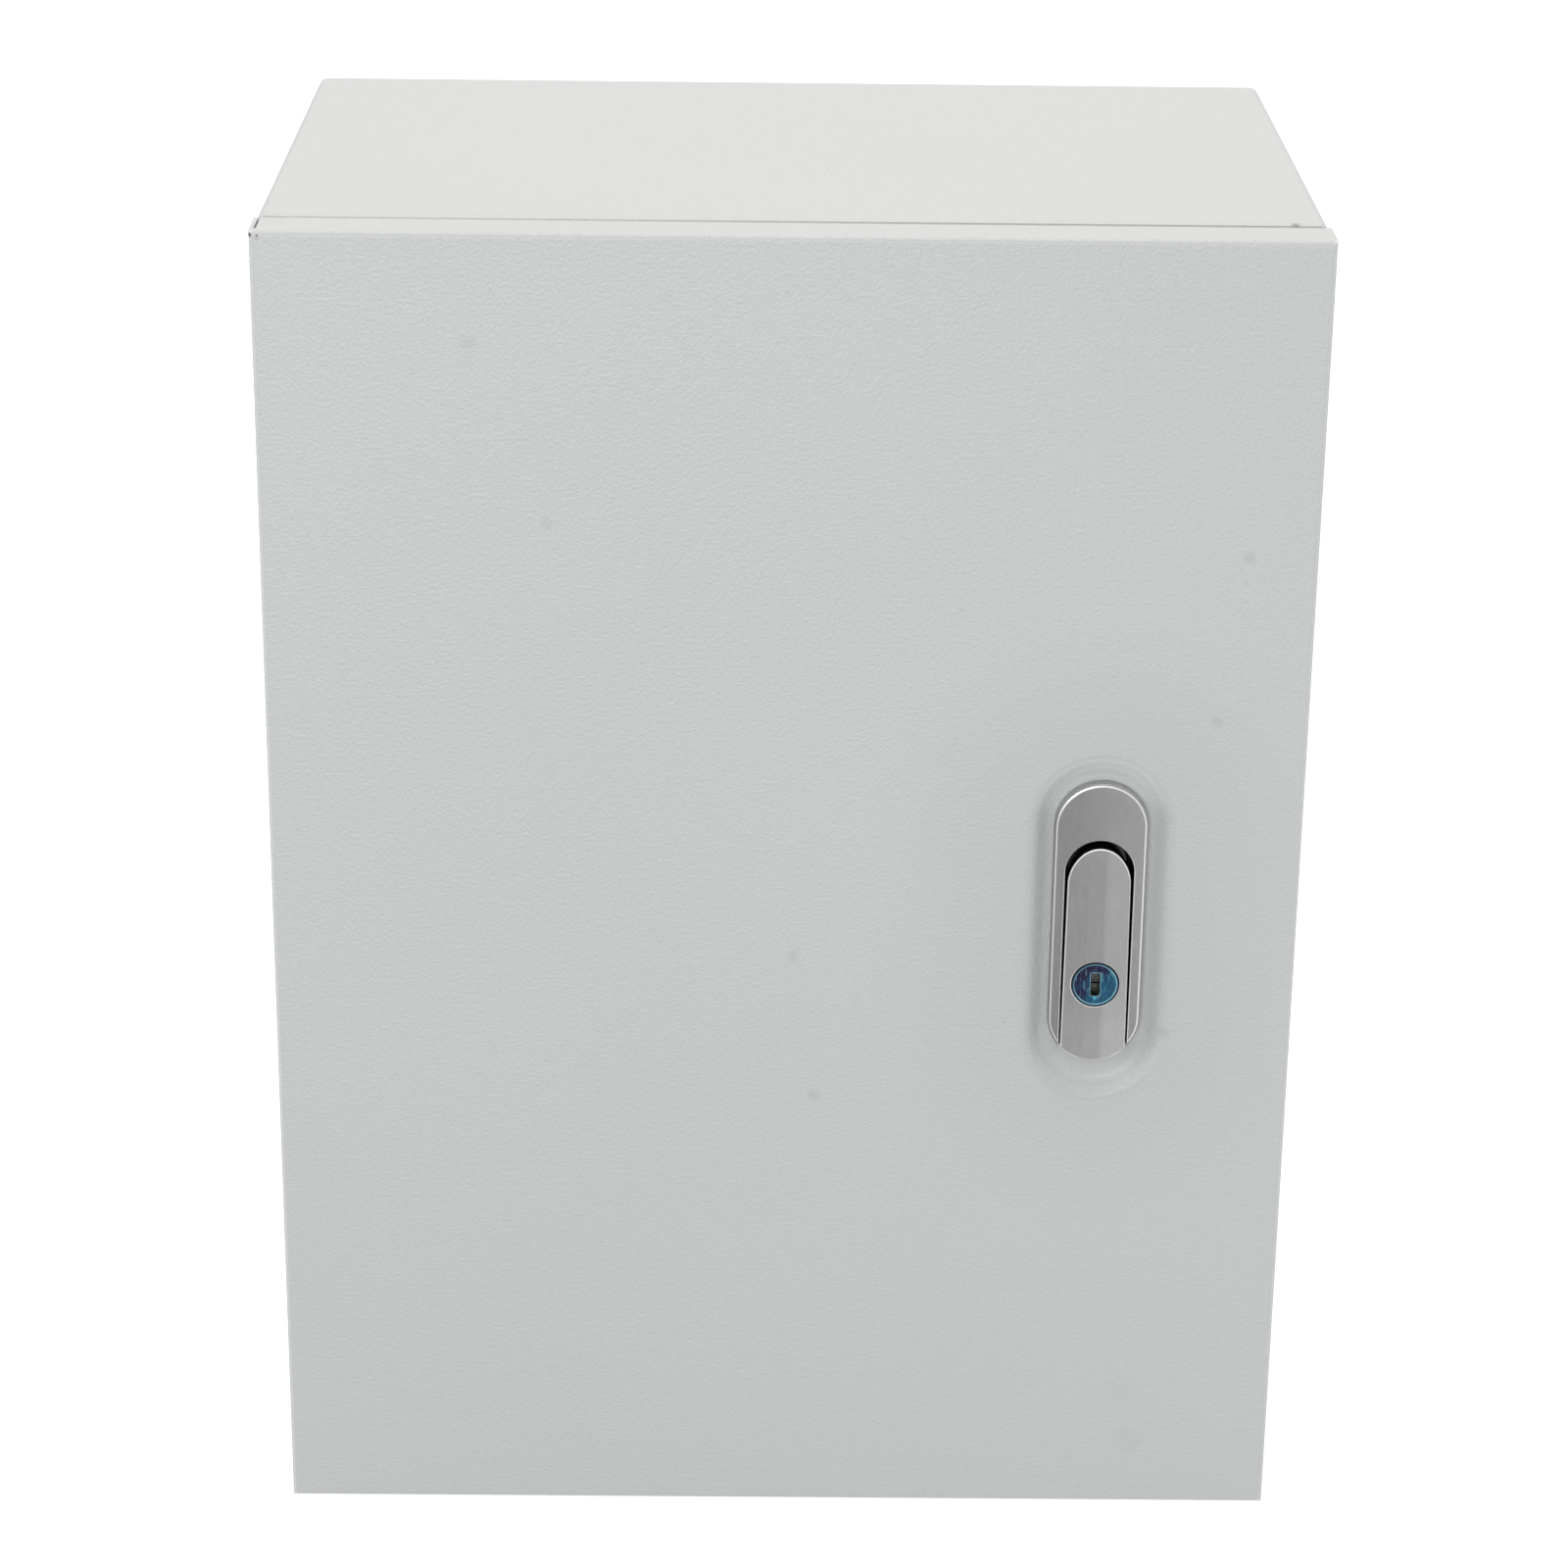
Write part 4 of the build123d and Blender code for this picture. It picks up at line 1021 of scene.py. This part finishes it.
def hexagon(name, across_flats, tall, bore, bolt_length=0.0):
    """A hexagon with turned corners, standing on Z at the origin.

    It is a nut, or a bolt if it has a length.
    """
    outer = corner_reach * across_flats / math.sqrt(3)
    cut = corner_cut * across_flats
    bpy.ops.object.select_all(action="DESELECT")
    bpy.ops.mesh.primitive_cylinder_add(vertices=48, radius=outer, depth=tall)
    turned = bpy.context.object
    bpy.ops.object.mode_set(mode="EDIT")
    pick("edges", sharp)
    bpy.ops.mesh.bevel(offset=cut, segments=2, affect="EDGES")
    bpy.ops.object.mode_set(mode="OBJECT")
    bpy.ops.object.select_all(action="DESELECT")
    bpy.ops.mesh.primitive_cylinder_add(vertices=6, radius=across_flats / math.sqrt(3), depth=2 * tall)
    piece = bpy.context.object
    piece.name = name
    shape = piece.modifiers.new("turned_corners", "BOOLEAN")
    shape.operation = "INTERSECT"
    shape.object = turned
    bpy.ops.object.modifier_apply(modifier="turned_corners")
    bpy.data.objects.remove(turned)
    bpy.ops.object.mode_set(mode="EDIT")
    if bolt_length:
        pick("faces", lambda face: face.normal.z > 0.99)
        bpy.ops.mesh.inset(thickness=outer - cut - bore)
        bpy.ops.mesh.extrude_region_move(TRANSFORM_OT_translate={"value": (0, 0, bolt_length)})
    else:
        pick("faces", lambda face: abs(face.normal.z) > 0.99)
        bpy.ops.mesh.inset(thickness=outer - cut - bore)
        bpy.ops.mesh.delete(type="FACE")
        pick("edges", lambda edge: edge.is_boundary)
        bpy.ops.mesh.bridge_edge_loops()
    bpy.ops.mesh.select_all(action="SELECT")
    bpy.ops.mesh.normals_make_consistent(inside=False)
    bpy.ops.object.mode_set(mode="OBJECT")
    bpy.ops.object.shade_smooth_by_angle(angle=math.radians(25))
    piece.data.materials.append(zinc_plating)
    return piece


def set_pieces(piece, turn, centres, body, node):
    """Turn a piece and copy it to each of its centres, riding on a body in place of a CAD node."""
    piece.rotation_euler = [math.radians(angle) for angle in turn]
    for i, centre in enumerate(centres):
        bpy.ops.object.select_all(action="DESELECT")
        piece.select_set(True)
        bpy.context.view_layer.objects.active = piece
        bpy.ops.object.duplicate(linked=False)
        copy = bpy.context.object
        copy.name = f"{piece.name}_{i + 1}"
        copy.location = centre
        bpy.ops.object.transform_apply(location=True, rotation=True, scale=True)
        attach(copy, body)
        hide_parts(node)
    bpy.data.objects.remove(piece)
    give_finish(zinc_plating, node)


def corners(node, inset_x, inset_y, inset_z):
    """The four centres of like pieces in a CAD node, from its box and how far in they stand."""
    box_low, box_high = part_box(node)
    middle = middle_of(node)
    reach = (box_high - box_low) / 2 - mathutils.Vector((inset_x, inset_y, inset_z))
    signs = ((-1, -1), (-1, 1), (1, -1), (1, 1))
    if box_high.y - box_low.y > box_high.z - box_low.z:
        return [middle + mathutils.Vector((a * reach.x, b * reach.y, 0)) for a, b in signs]
    return [middle + mathutils.Vector((a * reach.x, 0, b * reach.z)) for a, b in signs]


set_pieces(
    hexagon("plate_nut", m8_flats, m8_tall, m8_bore),
    (90, 30, 0),
    corners("plate_nuts", m8_flats * half_corner, m8_tall / 2, m8_flats / 2),
    "cabinet",
    "plate_nuts",
)
set_pieces(
    hexagon("gland_nut", m5_flats, m5_tall, m5_bore),
    (0, 0, 30),
    corners("gland_nuts", m5_flats * half_corner, m5_flats / 2, m5_tall / 2),
    "cabinet",
    "gland_nuts",
)
set_pieces(
    hexagon("wall_earth_nut", m6_flats, m6_tall, m6_bore),
    (0, 90, 0),
    [middle_of("body_earth_nuts")],
    "cabinet",
    "body_earth_nuts",
)
set_pieces(
    hexagon("door_earth_nut", m6_flats, m6_tall, m6_bore),
    (90, 0, 0),
    [middle_of("door_earth_nuts")],
    "door",
    "door_earth_nuts",
)
bolt_low, bolt_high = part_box("cam_bolt")
bolt_x = (bolt_low.x + bolt_high.x) / 2
bolt_z = (bolt_low.z + bolt_high.z) / 2
set_pieces(
    hexagon("cam_bolt_hexagon", bolt_flats, bolt_tall, bolt_shank, bolt_high.y - bolt_low.y - bolt_tall),
    (90, 30, 0),
    [(bolt_x, bolt_high.y - bolt_tall / 2, bolt_z)],
    "latch",
    "cam_bolt",
)

# The clamp screws: zinc plated steel with pan heads and a cross recess. They draw the
# bridges back against the door.
head_radius = 0.0038
head_tall = 0.0024
head_round = 0.0010
shank_radius = 0.0020
recess_long = 0.0040
recess_wide = 0.0008
recess_deep = 0.0013

screw_low, screw_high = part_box("clamp_screws")
bpy.ops.object.select_all(action="DESELECT")
bpy.ops.mesh.primitive_cylinder_add(vertices=48, radius=head_radius, depth=head_tall)
screw = bpy.context.object
screw.name = "clamp_screw"
bpy.ops.object.mode_set(mode="EDIT")
pick("edges", lambda edge: sharp(edge) and min(vert.co.z for vert in edge.verts) > 0)
bpy.ops.mesh.bevel(offset=head_round, segments=5, affect="EDGES")
pick("faces", lambda face: face.normal.z < -0.99)
bpy.ops.mesh.inset(thickness=head_radius - shank_radius)
bpy.ops.mesh.extrude_region_move(
    TRANSFORM_OT_translate={"value": (0, 0, -(screw_high.y - screw_low.y - head_tall))}
)
bpy.ops.object.mode_set(mode="OBJECT")
for length_x, length_y in ((recess_long, recess_wide), (recess_wide, recess_long)):
    bpy.ops.object.select_all(action="DESELECT")
    bpy.ops.mesh.primitive_cube_add(size=1.0, location=(0, 0, head_tall / 2))
    driver = bpy.context.object
    driver.scale = (length_x, length_y, 2 * recess_deep)
    bpy.ops.object.transform_apply(location=True, rotation=True, scale=True)
    bpy.ops.object.select_all(action="DESELECT")
    bpy.context.view_layer.objects.active = screw
    screw.select_set(True)
    slit = screw.modifiers.new("cross_recess", "BOOLEAN")
    slit.operation = "DIFFERENCE"
    slit.object = driver
    bpy.ops.object.modifier_apply(modifier="cross_recess")
    bpy.data.objects.remove(driver)
bpy.ops.object.shade_smooth_by_angle(angle=math.radians(30))
screw.data.materials.append(zinc_plating)
screw_x = (screw_low.x + screw_high.x) / 2
head_y = screw_high.y - head_tall / 2
set_pieces(
    screw,
    (-90, 0, 0),
    [(screw_x, head_y, screw_low.z + head_radius), (screw_x, head_y, screw_high.z - head_radius)],
    "door",
    "clamp_screws",
)

# Pins and the cam's washer: bright steel, turned or stamped, and zinc plated. The pins of
# the hinges and the handle are plain and have no heads.
give_finish(zinc_plating, "hinge_pin_upper", "hinge_pin_lower", "handle_pin", "cam_washer")

# Mounting plate and gland plate: hot-dip galvanised sheet with its spangle of zinc
# crystals, cut and punched, and held on the studs by nuts.
spangle_light = (0.60, 0.62, 0.64, 1)
spangle_dark = (0.49, 0.51, 0.53, 1)
crystal_scale = 210.0
crystal_sway = 0.004
sway_scale = 180.0
spangle_rough = (0.32, 0.42)
spangle_relief = (0.0001, 0.2)
spangle_metallic = 0.85
zinc_skin_scale = 500.0

galvanised, tree, shader, height = plain_material("galvanised_spangle", *spangle_relief)
vector = object_vector(tree)
ripple = tree.nodes.new("ShaderNodeVectorMath")
ripple.operation = "ADD"
tree.links.new(vector, ripple.inputs[0])
tree.links.new(times(tree, noise(tree, vector, sway_scale), crystal_sway), ripple.inputs[1])
crystals = tree.nodes.new("ShaderNodeTexVoronoi")
crystals.inputs["Scale"].default_value = crystal_scale
tree.links.new(ripple.outputs[0], crystals.inputs["Vector"])
facet = tree.nodes.new("ShaderNodeSeparateColor")
tree.links.new(crystals.outputs["Color"], facet.inputs[0])
colour = mix_colour(tree, facet.outputs[0], spangle_dark, spangle_light)
roughness = ramp(tree, facet.outputs[1], 0.0, 1.0, *spangle_rough)
dress(tree, shader, height, colour, roughness, noise(tree, vector, zinc_skin_scale))
shader.inputs["Metallic"].default_value = spangle_metallic
give_finish(galvanised, "mounting_plate", "gland_plate")

low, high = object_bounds()
